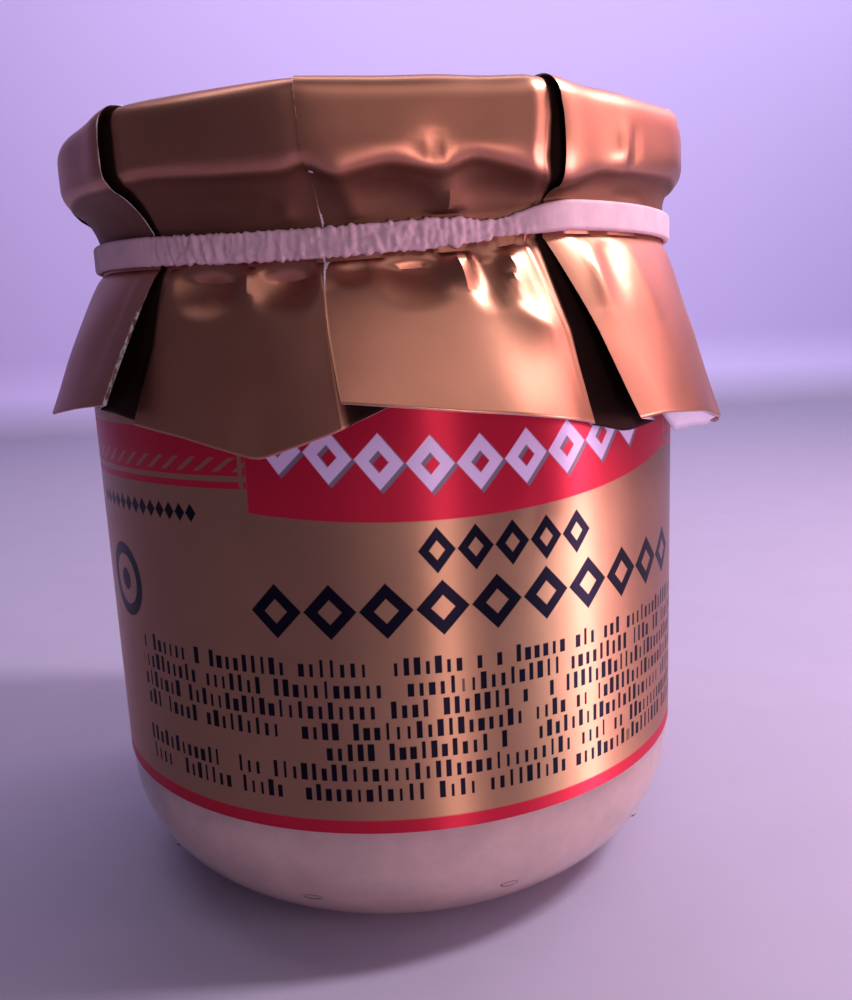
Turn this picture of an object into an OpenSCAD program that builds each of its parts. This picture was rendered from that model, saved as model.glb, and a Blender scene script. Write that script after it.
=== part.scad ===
// Straight-sided jar of mayonnaise under a pleated foil cover, which an elastic band holds in.
// +Z is up, the origin is the middle of the base, and -Y is the front.

/* [Jar] */
// Diameter of the straight glass body
jar_d = 80; // [65:1:110]
// Height of the whole jar, foil cover included
total_h = 98; // [85:1:130]
// Thickness of the glass wall
wall = 2.5; // [1.5:0.1:3.5]
// Thickness of the glass base
base_t = 4; // [2:0.5:6]
// Radius of the round heel between base and wall
heel_r = 16; // [8:0.5:20]
// Height of the neck, from the shoulder to the lid
neck_h = 18; // [15:0.5:22]
// How far the neck stands in from the body
neck_inset = 3.6; // [2.6:0.1:5]
// Number of raised dashes moulded round the heel
heel_dashes = 10; // [0:1:16]
// Width of one heel dash
dash_w = 2.4; // [1:0.2:5]

/* [Filling] */
// Empty height between the mayonnaise and the rim
headspace = 8; // [3:1:20]
// Clearance between the mayonnaise and the curved glass
fill_gap = 0.05; // [0.02:0.01:0.2]

/* [Label] */
// Thickness of the wrapped label
label_t = 0.2; // [0.15:0.05:0.4]
// Clearance between the label and the glass
label_gap = 0.02; // [0.01:0.01:0.1]
// Distance from the top of the heel to the label's lower edge
label_rise = 2; // [0.5:0.5:6]
// Distance from the label's upper edge to the shoulder
label_drop = 0.8; // [0.4:0.2:6]
// Width of the seam where the label laps over itself
seam_w = 6; // [3:1:12]

/* [Lid] */
// Height of the lid
lid_h = 8.6; // [7:0.1:10]
// How far the lid stands out past the glass body
lid_over = 0.9; // [0.3:0.1:2]
// Thickness of the lid's top
lid_t = 0.9; // [0.5:0.1:2]
// Radius of the lid's upper edge
lid_top_r = 2.5; // [1.5:0.1:3]
// Radius of the lid's lower edge
lid_low_r = 3.5; // [2:0.1:4]
// Clearance between the lid and the neck
lid_gap = 0.3; // [0.1:0.05:0.5]

/* [Foil cover] */
// Thickness of the foil
foil_t = 0.35; // [0.2:0.05:0.5]
// Clearance between the foil and the lid
foil_gap = 0.2; // [0.15:0.05:0.4]
// Number of pleats round the cover
pleats = 11; // [9:1:13]
// How far a pleat's upper layer stands proud
pleat_step = 0.75; // [0.3:0.05:0.9]
// Width of the notch along a pleat
pleat_notch = 0.6; // [0.4:0.1:1.2]
// Height from the band to the hem
skirt_h = 19.5; // [16:0.5:22]
// How far the skirt's outer flaps reach past the glass body
flare_out = 6.5; // [4:0.1:9]
// How far the skirt's tucked flaps reach past the glass body
flare_in = 3; // [1.5:0.1:5]
// Depth of the soft flutes in the skirt
flute = 0.35; // [0:0.05:0.6]

/* [Elastic band] */
// Height of the band's middle below the lid
band_drop = 5.2; // [4:0.1:7]
// Width of the band
band_w = 3.2; // [2:0.1:4]
// Thickness of the band
band_t = 0.95; // [0.5:0.05:1.5]
// Depth of the crinkles across the front of the band
band_rib = 0.12; // [0:0.02:0.2]
// How far the band steps up at the right of the front
band_rise = 1.15; // [0:0.05:2]
// How far the band sags at the middle of the front
band_sag = 1.25; // [0:0.05:2]

/* [Hidden] */

body_r = jar_d / 2;
neck_r = body_r - neck_inset;
lid_r = body_r + lid_over;
lid_z1 = total_h - foil_t - foil_gap;
lid_z0 = lid_z1 - lid_h;
rim_z = lid_z1 - lid_t;
neck_z = lid_z0 - neck_h;
shoulder_z = neck_z - neck_inset;
label_z0 = heel_r + label_rise;
label_z1 = shoulder_z - label_drop;

// Pleats at the front: shift from even spacing, lean down the lid, lean down the skirt,
// and which side lies on top (1 is the left one, -1 is the right one).
pleat_pitch = 360 / pleats;
first_pleat = -40;
front_shift = [0, -2.7, -2.4, 1.3];
front_lid_lean = [0.4, 1.2, 4.4, 0];
front_skirt_lean = [-4, 3.3, 14, 4];
front_side = [1, -1, -1, -1];
wobble_max = 2.2;

// Hem of the four front flaps, from left to right: the drop below the mean hem at each
// flap's left end, at its corner and at its right end, and where along the flap the corner is.
hem_left = [-2, -0.4, -2.6, 1.6];
hem_corner = [-1.4, 2.8, 2.9, 2.7];
hem_right = [-2.8, 0.1, 2.4, 0.6];
hem_corner_at = [0.4, 0.7, 0.93, 0.73];

// Fit of the foil round the neck, and of the band round the foil.
neck_fit = 0.2;
gather_r = neck_r + foil_t + neck_fit;
gather_bulk = 1.6;
gather_lap = 0.5 * pleat_step;
band_fit = 0.06;
band_top_clear = 0.3;

cols = 9;
band_steps = 220;
skirt_stops = [0.08, 0.22, 0.4, 0.6, 0.8, 1];
flare_power = 0.82;
dash_r = 0.5;
dash_angle = 48;

function ease(x) = x < 0 ? 0 : x > 1 ? 1 : x * x * (3 - 2 * x);
function mix(a, b, t) = a + (b - a) * t;
function turn(a) = a - 360 * floor((a + 180) / 360);
function wobble(k) = wobble_max * sin(97 * k);
function front(list, k, other) = k < len(list) ? list[k] : other;

// A point at an angle from the front, positive to the right
function at(a, r, z) = [r * sin(a), -r * cos(a), z];

// The band and the foil under it bulk out and step up at the right of the front
function right_side(a) = ease((turn(a) - 16) / 16) * (1 - ease((turn(a) - 110) / 60));
function band_z(a) = lid_z0 - band_drop + band_rise * right_side(a)
    - band_sag * exp(-pow((turn(a) + 15) / 32, 2));
function gathered(a) = gather_r + gather_bulk * right_side(a);

module quarter_disc(r, up) {
    intersection() {
        circle(r, $fn = 96);
        translate([0, up ? 0 : -r]) square(r);
    }
}

// Half section of a round tub: rounded lower corner, straight wall, rounded shoulder, neck
module tub_section(r, neck, bottom, turn_in, top, corner) {
    translate([0, bottom]) square([r - corner, turn_in - bottom]);
    translate([0, bottom + corner]) square([r, turn_in - bottom - corner]);
    translate([r - corner, bottom + corner]) quarter_disc(corner, false);
    translate([neck, turn_in]) quarter_disc(r - neck, true);
    translate([0, turn_in - 1]) square([neck, top - turn_in + 1]);
}

module cavity(gap, top) {
    tub_section(body_r - wall - gap, neck_r - wall - gap, base_t, shoulder_z - wall / 4,
        top, heel_r - wall - gap);
}

module heel_dash(a) {
    rotate([0, 0, a]) rotate_extrude(angle = dash_w / body_r * 180 / PI, $fn = 96)
        translate([body_r - heel_r + heel_r * cos(dash_angle),
                heel_r - heel_r * sin(dash_angle)]) circle(dash_r, $fn = 24);
}

module glass_jar() {
    color([0.86, 0.84, 0.84, 0.35]) union() {
        rotate_extrude($fn = 180) difference() {
            tub_section(body_r, neck_r, 0, shoulder_z, rim_z, heel_r);
            cavity(0, rim_z + 1);
        }
        for (i = [0:1:heel_dashes - 1]) heel_dash(i * 360 / heel_dashes - 90);
    }
}

module mayonnaise() {
    color([0.86, 0.72, 0.68]) rotate_extrude($fn = 180) cavity(fill_gap, rim_z - headspace);
}

// The label is wound round once, and its end laps over its start at the back
module label() {
    seam_turn = seam_w / body_r * 180 / PI;
    color([0.62, 0.42, 0.30]) union() {
        rotate_extrude($fn = 180) translate([body_r + label_gap, label_z0])
            square([label_t, label_z1 - label_z0]);
        rotate([0, 0, 90 - seam_turn / 2]) rotate_extrude(angle = seam_turn, $fn = 180)
            translate([body_r + label_gap + label_t / 2, label_z0])
            square([1.5 * label_t, label_z1 - label_z0]);
    }
}

module lid() {
    color([0.75, 0.72, 0.70]) rotate_extrude($fn = 180) difference() {
        union() {
            translate([0, lid_z0]) square([lid_r - lid_low_r, lid_h]);
            translate([0, lid_z0 + lid_low_r]) square([lid_r, lid_h - lid_low_r - lid_top_r]);
            translate([0, lid_z1 - lid_top_r - 1]) square([lid_r - lid_top_r, lid_top_r + 1]);
            translate([lid_r - lid_top_r, lid_z1 - lid_top_r]) quarter_disc(lid_top_r, true);
            translate([lid_r - lid_low_r, lid_z0 + lid_low_r]) quarter_disc(lid_low_r, false);
        }
        translate([0, lid_z0 - 1]) square([neck_r + lid_gap, rim_z - lid_z0 + 1]);
    }
}

// Foil cover. A row is [radius, height, outward normal (2), lap]; the lap says how much of the
// pleat step shows in that row.
lid_off = foil_gap + foil_t;
function lid_row(arc_r, up, a, lap) = let (o = arc_r + lid_off,
        cz = up ? lid_z1 - arc_r : lid_z0 + arc_r)
    [lid_r - arc_r + o * cos(a), cz + o * sin(a), cos(a), sin(a), lap];
lid_rows = [
    [lid_r - lid_top_r - 1.5, total_h, 0, 1, 0],
    lid_row(lid_top_r, true, 90, 0),
    lid_row(lid_top_r, true, 60, 0.4),
    lid_row(lid_top_r, true, 30, 1),
    lid_row(lid_top_r, true, 0, 1),
    lid_row(lid_low_r, false, 0, 1),
    lid_row(lid_low_r, false, -30, 1),
    lid_row(lid_low_r, false, -60, 1)];
first_band_row = len(lid_rows);
row_count = first_band_row + 3 + len(skirt_stops);

// Share of the way down the lid side, and down the skirt, of each row
function lid_share(i) = min(1, max(0, (i - 1) / (first_band_row - 1)));
function skirt_share(i) = i < first_band_row + 3 ? 0 : skirt_stops[i - first_band_row - 3];

function pleat_line(k, i) = let (j = k % pleats, lap_over = floor(k / pleats))
    first_pleat + j * pleat_pitch + 360 * lap_over + front(front_shift, j, wobble(j))
    + front(front_lid_lean, j, wobble(j + 3)) * lid_share(i)
    + front(front_skirt_lean, j, wobble(j + 5)) * skirt_share(i);
function side(k) = front(front_side, k % pleats, wobble(k % pleats) > 0 ? 1 : -1);

// 1 where the flap lies on top of its neighbour, 0 where it is tucked under
function on_top(k, f) = mix(side(k) < 0 ? 1 : 0, side(k + 1) > 0 ? 1 : 0, f);

function hem_drop(k, f) = let (p = (k + 1) % pleats,
        a = front(hem_left, p, wobble(p)), b = front(hem_corner, p, 2 + wobble(p + 2) / 2),
        c = front(hem_right, p, wobble(p + 1)), m = front(hem_corner_at, p, 0.5 + wobble(p) / 9))
    f < m ? mix(a, b, f / m) : mix(b, c, (f - m) / (1 - m));

function band_row(i, a, k, f) = let (n = i - first_band_row, r = gathered(a),
        z = band_z(a))
    n == 0 ? [mix(r, lid_rows[first_band_row - 1][0], 0.42),
        mix(z + band_w / 2, lid_rows[first_band_row - 1][1], 0.5), cos(35), -sin(35), 0.7]
    : n == 1 ? [r, z + band_w / 2 + band_top_clear, 1, 0, gather_lap / pleat_step]
    : n == 2 ? [r, z - band_w / 2 - band_top_clear, 1, 0, gather_lap / pleat_step]
    : let (t = skirt_share(i),
        top = z - band_w / 2 - band_top_clear,
        hem = lid_z0 - band_drop - skirt_h - hem_drop(k, f),
        reach = body_r + mix(flare_in, flare_out, on_top(k, f)),
        wave = flute * sin(180 * t) * cos(720 * f + 57 * k))
        [mix(r, reach, pow(t, flare_power)) + wave, mix(top, hem, t), 0.914, 0.406, 0];

function cover_row(i, a, k, f) = i < first_band_row ? lid_rows[i] : band_row(i, a, k, f);

// inner is 0 on the outside of the foil and 1 on its inside
function cover_point(i, k, m, inner) = let (f = m / (cols - 1),
        notch = pleat_notch / body_r * 180 / PI,
        a = mix(pleat_line(k, i) + notch / 2, pleat_line(k + 1, i) - notch / 2, f),
        row = cover_row(i, a, k, f),
        out = row[4] * pleat_step * on_top(k, f) - inner * foil_t)
    at(a, row[0] + row[2] * out, row[1] + row[3] * out);

ring = pleats * cols;
function cover_ring(i, inner) = [for (k = [0:1:pleats - 1]) for (m = [0:1:cols - 1])
    cover_point(i, k, m, inner)];
function strip(base, flip) = [for (i = [0:1:row_count - 2]) for (j = [0:1:ring - 1])
    let (a = base + i * ring + j, b = base + i * ring + (j + 1) % ring, c = a + ring, d = b + ring)
    each flip ? [[a, b, d], [a, d, c]] : [[a, d, b], [a, c, d]]];

module foil_cover() {
    inside = row_count * ring;
    poles = 2 * inside;
    points = concat([for (i = [0:1:row_count - 1]) each cover_ring(i, 0)],
        [for (i = [0:1:row_count - 1]) each cover_ring(i, 1)],
        [[0, 0, total_h], [0, 0, total_h - foil_t]]);
    hem = (row_count - 1) * ring;
    faces = concat(strip(0, true), strip(inside, false),
        [for (j = [0:1:ring - 1]) [poles, (j + 1) % ring, j]],
        [for (j = [0:1:ring - 1]) [poles + 1, inside + j, inside + (j + 1) % ring]],
        [for (j = [0:1:ring - 1]) let (a = hem + j, b = hem + (j + 1) % ring)
            each [[a, b, b + inside], [a, b + inside, a + inside]]]);
    color([0.72, 0.47, 0.38]) polyhedron(points, faces, convexity = 8);
}

// Elastic band. Its section runs round from the inner lower corner.
function band_section(a, i) = let (w = band_w + 0.3 * right_side(a),
        crinkled = ease((turn(a) + 38) / 6) * (1 - ease((turn(a) - 22) / 6)),
        rib = band_rib * crinkled * (i % 2 == 0 ? 1 : -1),
        r = gathered(a) + gather_lap + band_fit,
        edge = band_t * 0.55)
    [for (p = [[0, 0.15 - w / 2], [0, w / 2 - 0.15], [edge, w / 2],
            [band_t + rib, w / 2 - 0.75], [band_t + rib, 0.75 - w / 2], [edge, -w / 2]])
        at(a, r + p[0], band_z(a) + p[1])];

module elastic_band() {
    n = 6;
    points = [for (i = [0:1:band_steps - 1]) each band_section(i * 360 / band_steps - 180, i)];
    faces = [for (i = [0:1:band_steps - 1]) for (j = [0:1:n - 1])
        let (a = i * n + j, b = i * n + (j + 1) % n,
            c = ((i + 1) % band_steps) * n + j, d = ((i + 1) % band_steps) * n + (j + 1) % n)
        each [[a, d, c], [a, b, d]]];
    color([0.62, 0.54, 0.52]) polyhedron(points, faces, convexity = 4);
}

glass_jar();
mayonnaise();
label();
lid();
foil_cover();
elastic_band();
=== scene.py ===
"""Builds the looks of a jar of mayonnaise under a pleated foil cover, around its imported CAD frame."""

import math

import bpy
import numpy as np
from bpy.props import FloatProperty, FloatVectorProperty, IntProperty, PointerProperty
from mathutils import Matrix, Vector, noise


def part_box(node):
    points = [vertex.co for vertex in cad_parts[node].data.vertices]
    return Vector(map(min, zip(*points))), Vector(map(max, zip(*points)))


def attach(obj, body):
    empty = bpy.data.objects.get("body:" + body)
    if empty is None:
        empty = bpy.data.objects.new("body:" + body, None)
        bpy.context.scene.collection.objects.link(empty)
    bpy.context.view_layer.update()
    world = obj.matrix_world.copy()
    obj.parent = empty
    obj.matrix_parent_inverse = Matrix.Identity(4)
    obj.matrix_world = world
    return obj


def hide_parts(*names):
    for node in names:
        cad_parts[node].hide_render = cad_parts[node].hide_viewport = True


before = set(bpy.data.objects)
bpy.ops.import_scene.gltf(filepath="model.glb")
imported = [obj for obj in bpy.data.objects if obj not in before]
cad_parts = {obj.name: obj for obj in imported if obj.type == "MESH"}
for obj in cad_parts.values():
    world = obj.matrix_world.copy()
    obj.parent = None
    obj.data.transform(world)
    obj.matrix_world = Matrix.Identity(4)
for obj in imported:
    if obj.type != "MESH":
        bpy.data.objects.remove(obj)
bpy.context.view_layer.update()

bl_info = {
    "name": "Mayonnaise Jar",
    "version": (1, 0, 0),
    "blender": (4, 5, 0),
    "location": "View3D > Sidebar > Jar",
    "description": "Glass jar of mayonnaise with a printed label, a pleated foil cover and a band",
    "category": "Object",
}

MM = 0.001


def node_box(name):
    """Low and high corners of a CAD node, in millimetres."""
    low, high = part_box(name)
    return np.array(low) / MM, np.array(high) / MM


GLASS_HIGH = node_box("glass_jar")[1]
LABEL_LOW, LABEL_HIGH = node_box("label")
LID_LOW, LID_HIGH = node_box("lid")
FILL_TOP = node_box("mayonnaise")[1][2]
BODY_R = GLASS_HIGH[0]
LID_R = LID_HIGH[0]
TOP_Z = node_box("foil_cover")[1][2]
SHOULDER_START = LABEL_HIGH[2] + 0.8


# ---------------------------------------------------------------- geometry helpers


def ease(x):
    """0 to 1, slow at both ends."""
    x = np.clip(x, 0.0, 1.0)
    return x * x * (3.0 - 2.0 * x)


def mix(a, b, t):
    """A value a share t of the way from a to b."""
    return a + (b - a) * t


def turned(azimuth):
    """Azimuth brought to -180..180 degrees; 0 is the front and positive is to the right."""
    return (np.asarray(azimuth) + 180.0) % 360.0 - 180.0


def at(azimuth, radius, height):
    """Points in metres from azimuth in degrees and radius and height in millimetres."""
    a = np.radians(azimuth)
    x = radius * np.sin(a)
    y = -radius * np.cos(a)
    return np.stack(np.broadcast_arrays(x, y, height), axis=-1) * MM


def arc(centre_r, centre_z, radius, start, end, steps):
    """Points (r, z) of an arc, angles in degrees from the outward direction."""
    angles = np.radians(np.linspace(start, end, steps))
    return [(centre_r + radius * math.cos(a), centre_z + radius * math.sin(a)) for a in angles]


def new_object(name, mesh):
    """An object for a mesh or curve, put in the scene."""
    piece = bpy.data.objects.new(name, mesh)
    bpy.context.scene.collection.objects.link(piece)
    return piece


def smooth_faces(mesh, sharp_degrees=None):
    """Smooth shading, with edges past an angle kept sharp."""
    mesh.polygons.foreach_set("use_smooth", [True] * len(mesh.polygons))
    if sharp_degrees is not None:
        mesh.set_sharp_from_angle(angle=math.radians(sharp_degrees))
    mesh.update()


def lathe(name, profile, steps=192):
    """Closed round body from a profile of (r, z) that starts and ends on the axis, going outward first."""
    rings = profile[1:-1]
    azimuths = np.arange(steps) * 360.0 / steps
    points = [at(azimuths, r, z) for r, z in rings]
    poles = [(0.0, 0.0, profile[0][1] * MM), (0.0, 0.0, profile[-1][1] * MM)]
    vertices = np.concatenate(points + [np.array(poles)])
    first = len(rings) * steps
    faces = []
    for j in range(steps):
        k = (j + 1) % steps
        faces.append((first, k, j))
        top = (len(rings) - 1) * steps
        faces.append((first + 1, top + j, top + k))
        for i in range(len(rings) - 1):
            a = i * steps
            b = a + steps
            faces.append((a + j, a + k, b + k, b + j))
    mesh = bpy.data.meshes.new(name)
    mesh.from_pydata(vertices.tolist(), [], faces)
    return mesh


def evaluated_mesh(piece, name):
    """Plain mesh of a piece as its modifiers make it."""
    graph = bpy.context.evaluated_depsgraph_get()
    mesh = bpy.data.meshes.new_from_object(piece.evaluated_get(graph))
    mesh.name = name
    return mesh


def finish_piece(piece, nodes):
    """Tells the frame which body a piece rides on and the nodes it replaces."""
    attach(piece, "root")
    if nodes:
        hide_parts(*nodes)


# ---------------------------------------------------------------- node helpers


class Nodes:
    """Short calls for building a material's node tree."""

    def __init__(self, name):
        self.material = bpy.data.materials.new(name)
        self.material.use_nodes = True
        self.tree = self.material.node_tree
        self.shader = self.tree.nodes["Principled BSDF"]

    def add(self, kind, **values):
        node = self.tree.nodes.new(kind)
        for key, value in values.items():
            setattr(node, key, value)
        return node

    def put(self, value, socket):
        if isinstance(value, bpy.types.NodeSocket):
            self.tree.links.new(value, socket)
        else:
            socket.default_value = value

    def math(self, operation, *values, clamp=False):
        node = self.add("ShaderNodeMath", operation=operation, use_clamp=clamp)
        for value, socket in zip(values, node.inputs):
            self.put(value, socket)
        return node.outputs[0]

    def step(self, value, low, high):
        """0 below low, 1 above high."""
        return self.remap(value, low, high, 0.0, 1.0)

    def remap(self, value, low, high, to_low, to_high):
        """A value's range low..high laid on to_low..to_high."""
        node = self.add("ShaderNodeMapRange", clamp=True)
        self.put(value, node.inputs["Value"])
        for key, number in (("From Min", low), ("From Max", high), ("To Min", to_low), ("To Max", to_high)):
            self.put(number, node.inputs[key])
        return node.outputs["Result"]

    def blend(self, factor, first, second):
        """The first colour at factor 0 and the second at factor 1."""
        node = self.add("ShaderNodeMix", data_type="RGBA")
        self.put(factor, node.inputs[0])
        self.put(first, node.inputs[6])
        self.put(second, node.inputs[7])
        return node.outputs[2]

    def coordinates(self, scale=(1.0, 1.0, 1.0)):
        """The piece's own coordinates in metres, scaled."""
        place = self.add("ShaderNodeTexCoord")
        mapping = self.add("ShaderNodeMapping")
        self.put(scale, mapping.inputs["Scale"])
        self.put(place.outputs["Object"], mapping.inputs["Vector"])
        return mapping.outputs["Vector"]

    def noise(self, vector, scale, detail=3.0, roughness=0.5):
        node = self.add("ShaderNodeTexNoise")
        self.put(vector, node.inputs["Vector"])
        self.put(scale, node.inputs["Scale"])
        self.put(detail, node.inputs["Detail"])
        self.put(roughness, node.inputs["Roughness"])
        return node.outputs["Fac"]

    def attribute(self, name):
        return self.add("ShaderNodeAttribute", attribute_name=name).outputs["Fac"]

    def bump(self, height, strength, distance):
        """Roughens the shader's normal by a height."""
        node = self.add("ShaderNodeBump")
        self.put(height, node.inputs["Height"])
        self.put(strength, node.inputs["Strength"])
        self.put(distance, node.inputs["Distance"])
        self.tree.links.new(node.outputs["Normal"], self.shader.inputs["Normal"])

    def set(self, **values):
        """Sets the shader's own sockets."""
        for key, value in values.items():
            self.put(value, self.shader.inputs[key.replace("_", " ")])


def rgba(color, strength=1.0):
    """A colour with full alpha, dimmed or raised by a strength."""
    return tuple(min(1.0, strength * c) for c in color) + (1.0,)


# ---------------------------------------------------------------- settings


def length(name, value, note):
    """A size given in millimetres."""
    return FloatProperty(name=name, description=note, default=value * MM, unit="LENGTH", precision=5)


def degrees(name, value, note):
    """An angle given in degrees."""
    return FloatProperty(name=name, description=note, default=math.radians(value), unit="ROTATION")


def plain(name, value, note):
    """A number without a unit."""
    return FloatProperty(name=name, description=note, default=value)


def color(name, value, note):
    """A colour."""
    return FloatVectorProperty(name=name, description=note, default=value, size=3, subtype="COLOR",
                               min=0.0, max=1.0)


class GlassSettings(bpy.types.PropertyGroup):
    """Sizes and colours of the glass and the filling"""

    heel_radius: length("Heel radius", 16.0, "Radius of the round heel between base and wall")
    shoulder: length("Shoulder", 3.6, "How far the neck stands in from the body")
    wall: length("Wall", 2.5, "Thickness of the glass wall")
    base: length("Base", 4.0, "Thickness of the glass base")
    into_wall: length("Filling overlap", 0.35, "How far the filling reaches into the wall")
    dash_count: IntProperty(name="Heel dashes", description="Raised dashes on the heel", default=10)
    dash_width: length("Dash width", 2.4, "Width of a heel dash")
    glass_color: color("Glass", (0.97, 0.965, 0.96), "Colour of the clear glass")
    filling_color: color("Mayonnaise", (0.92, 0.66, 0.66), "Colour of the mayonnaise")


class LabelSettings(bpy.types.PropertyGroup):
    """Colours of the label"""

    metal: color("Metal", (0.55, 0.30, 0.19), "Colour of the bare metallised label")
    red: color("Red", (0.54, 0.012, 0.045), "Colour of the banner and the stripes")
    ink: color("Ink", (0.012, 0.010, 0.022), "Colour of the dark print")
    pale: color("Pale ink", (0.66, 0.52, 0.80), "Colour of the pale lozenges on the banner")
    roughness: plain("Roughness", 0.44, "Roughness of the metallised paper")


class CoverSettings(bpy.types.PropertyGroup):
    """Sizes and colours of the foil cover"""

    pleats: IntProperty(name="Pleats", description="Number of pleats round the cover", default=11)
    thickness: length("Thickness", 0.08, "Thickness of the foil sheet")
    lid_gap: length("Gap", 0.2, "Gap between the foil and the lid")
    band_width: length("Band width", 3.2, "Width of the gathered strip that the band covers")
    metal: color("Foil", (0.49, 0.215, 0.14), "Colour of the foil's metal side")
    reverse: color("Reverse", (0.62, 0.53, 0.70), "Colour of the foil's paper side")
    worn: color("Worn", (0.62, 0.56, 0.60), "Colour of the worn and torn edges")
    roughness: plain("Roughness", 0.35, "Roughness of the foil")


class BandSettings(bpy.types.PropertyGroup):
    """Sizes and colour of the elastic band"""

    width: length("Width", 3.2, "Width of the elastic band")
    thickness: length("Thickness", 0.9, "Thickness of the elastic band")
    rib_depth: length("Crinkle depth", 0.42, "Depth of the crinkles across the band")
    rib_pitch: length("Crinkle pitch", 0.75, "Distance between crinkles")
    rubber: color("Rubber", (0.62, 0.39, 0.47), "Colour of the band")


class StageSettings(bpy.types.PropertyGroup):
    """Camera and floor"""

    lens: plain("Lens", 32.4, "Focal length of the camera")
    distance: length("Distance", 132.4, "Distance of the camera from the jar's axis")
    height: length("Height", 73.75, "Height of the camera above the floor")
    pitch: degrees("Pitch", 10.96, "How far the camera looks down")
    pan: degrees("Pan", 2.23, "How far the camera is turned to the right")
    roll: degrees("Roll", -2.49, "How far the camera is rolled")
    floor_color: color("Floor", (0.33, 0.285, 0.41), "Colour of the floor")
    wall_color: color("Backdrop", (0.56, 0.45, 0.82), "Colour of the backdrop")


# ---------------------------------------------------------------- glass and filling


WAVE_SCALE = 90.0
DASH_THICKNESS = 0.30
DASH_SLOPE = 30.0


def tub_profile(radius, corner, bottom, turn_in, neck, top, steps=16):
    """Half section of a round tub: heel, straight wall, shoulder and neck."""
    points = [(0.0, bottom)]
    points += [((radius - corner) * t, bottom) for t in (0.5, 0.9)]
    points += arc(radius - corner, bottom + corner, corner, -90, 0, steps)
    wall_steps = np.linspace(bottom + corner, turn_in, 7)[1:-1]
    points += [(radius, z) for z in wall_steps]
    points += arc(neck, turn_in, radius - neck, 0, 90, 8)
    points += [(neck, mix(turn_in + radius - neck, top, t)) for t in (0.3, 0.65, 1.0)]
    return points


def glass_material(settings):
    """Clear glass with slow waves in it."""
    n = Nodes("clear_glass")
    place = n.coordinates()
    waves = n.noise(place, WAVE_SCALE, 2.0)
    n.bump(waves, 0.08, 0.0004)
    n.set(Base_Color=rgba(settings.glass_color), Roughness=0.04, IOR=1.5, Transmission_Weight=1.0)
    return n.material


def filling_material(settings):
    """Soft pale mayonnaise, a little cloudy and specked."""
    n = Nodes("mayonnaise")
    place = n.coordinates()
    clouds = n.noise(place, 160.0, 5.0, 0.6)
    specks = n.noise(place, 900.0, 2.0, 0.7)
    dark = rgba(settings.filling_color, 0.86)
    light = rgba(settings.filling_color, 1.06)
    base = n.blend(n.remap(clouds, 0.35, 0.68, 0.0, 1.0), dark, light)
    base = n.blend(n.remap(specks, 0.58, 0.72, 0.0, 0.35), base, dark)
    n.bump(clouds, 0.25, 0.0003)
    n.set(Base_Color=base, Roughness=0.38, Subsurface_Weight=0.25, Subsurface_Scale=0.0015,
          Subsurface_Radius=(1.0, 0.7, 0.45))
    return n.material


def geometry_tree(name, sizes, counts=()):
    """A Geometry Nodes tree with named inputs for sizes, counts and a material."""
    tree = bpy.data.node_groups.new(name, "GeometryNodeTree")
    face = tree.interface
    face.new_socket("Geometry", in_out="OUTPUT", socket_type="NodeSocketGeometry")
    face.new_socket("Geometry", in_out="INPUT", socket_type="NodeSocketGeometry")
    for size in sizes:
        face.new_socket(size, in_out="INPUT", socket_type="NodeSocketFloat")
    for count in counts:
        face.new_socket(count, in_out="INPUT", socket_type="NodeSocketInt")
    face.new_socket("Material", in_out="INPUT", socket_type="NodeSocketMaterial")
    return tree, tree.nodes.new("NodeGroupInput"), tree.nodes.new("NodeGroupOutput")


def end_tree(tree, shape, given, out):
    """Ends a tree in Realize Instances and Set Material."""
    real = tree.nodes.new("GeometryNodeRealizeInstances")
    paint = tree.nodes.new("GeometryNodeSetMaterial")
    tree.links.new(shape.outputs[0], real.inputs[0])
    tree.links.new(real.outputs[0], paint.inputs["Geometry"])
    tree.links.new(given.outputs["Material"], paint.inputs["Material"])
    tree.links.new(paint.outputs[0], out.inputs[0])


def heel_dash_tree():
    """Nodes that set raised dashes round a circle."""
    sizes = ("Circle radius", "Height", "Dash length", "Dash thickness")
    tree, given, out = geometry_tree("heel_dashes", sizes, ("Count",))
    add = tree.nodes.new
    link = tree.links.new
    circle = add("GeometryNodeMeshCircle")
    link(given.outputs["Count"], circle.inputs["Vertices"])
    link(given.outputs["Circle radius"], circle.inputs["Radius"])
    lift = add("GeometryNodeTransform")
    raised = add("ShaderNodeCombineXYZ")
    link(given.outputs["Height"], raised.inputs["Z"])
    link(raised.outputs[0], lift.inputs["Translation"])
    link(circle.outputs["Mesh"], lift.inputs["Geometry"])
    ball = add("GeometryNodeMeshUVSphere")
    ball.inputs["Segments"].default_value = 16
    ball.inputs["Rings"].default_value = 10
    ball.inputs["Radius"].default_value = 1.0
    place = add("GeometryNodeInputPosition")
    aim = add("FunctionNodeAlignEulerToVector")
    aim.axis = "X"
    flat = add("ShaderNodeVectorMath")
    flat.operation = "MULTIPLY"
    flat.inputs[1].default_value = (1.0, 1.0, 0.0)
    link(place.outputs[0], flat.inputs[0])
    link(flat.outputs[0], aim.inputs["Vector"])
    size = add("ShaderNodeCombineXYZ")
    link(given.outputs["Dash thickness"], size.inputs["X"])
    link(given.outputs["Dash length"], size.inputs["Y"])
    link(given.outputs["Dash thickness"], size.inputs["Z"])
    spread = add("GeometryNodeInstanceOnPoints")
    link(lift.outputs[0], spread.inputs["Points"])
    link(ball.outputs["Mesh"], spread.inputs["Instance"])
    link(aim.outputs[0], spread.inputs["Rotation"])
    link(size.outputs[0], spread.inputs["Scale"])
    end_tree(tree, spread, given, out)
    return tree


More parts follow.
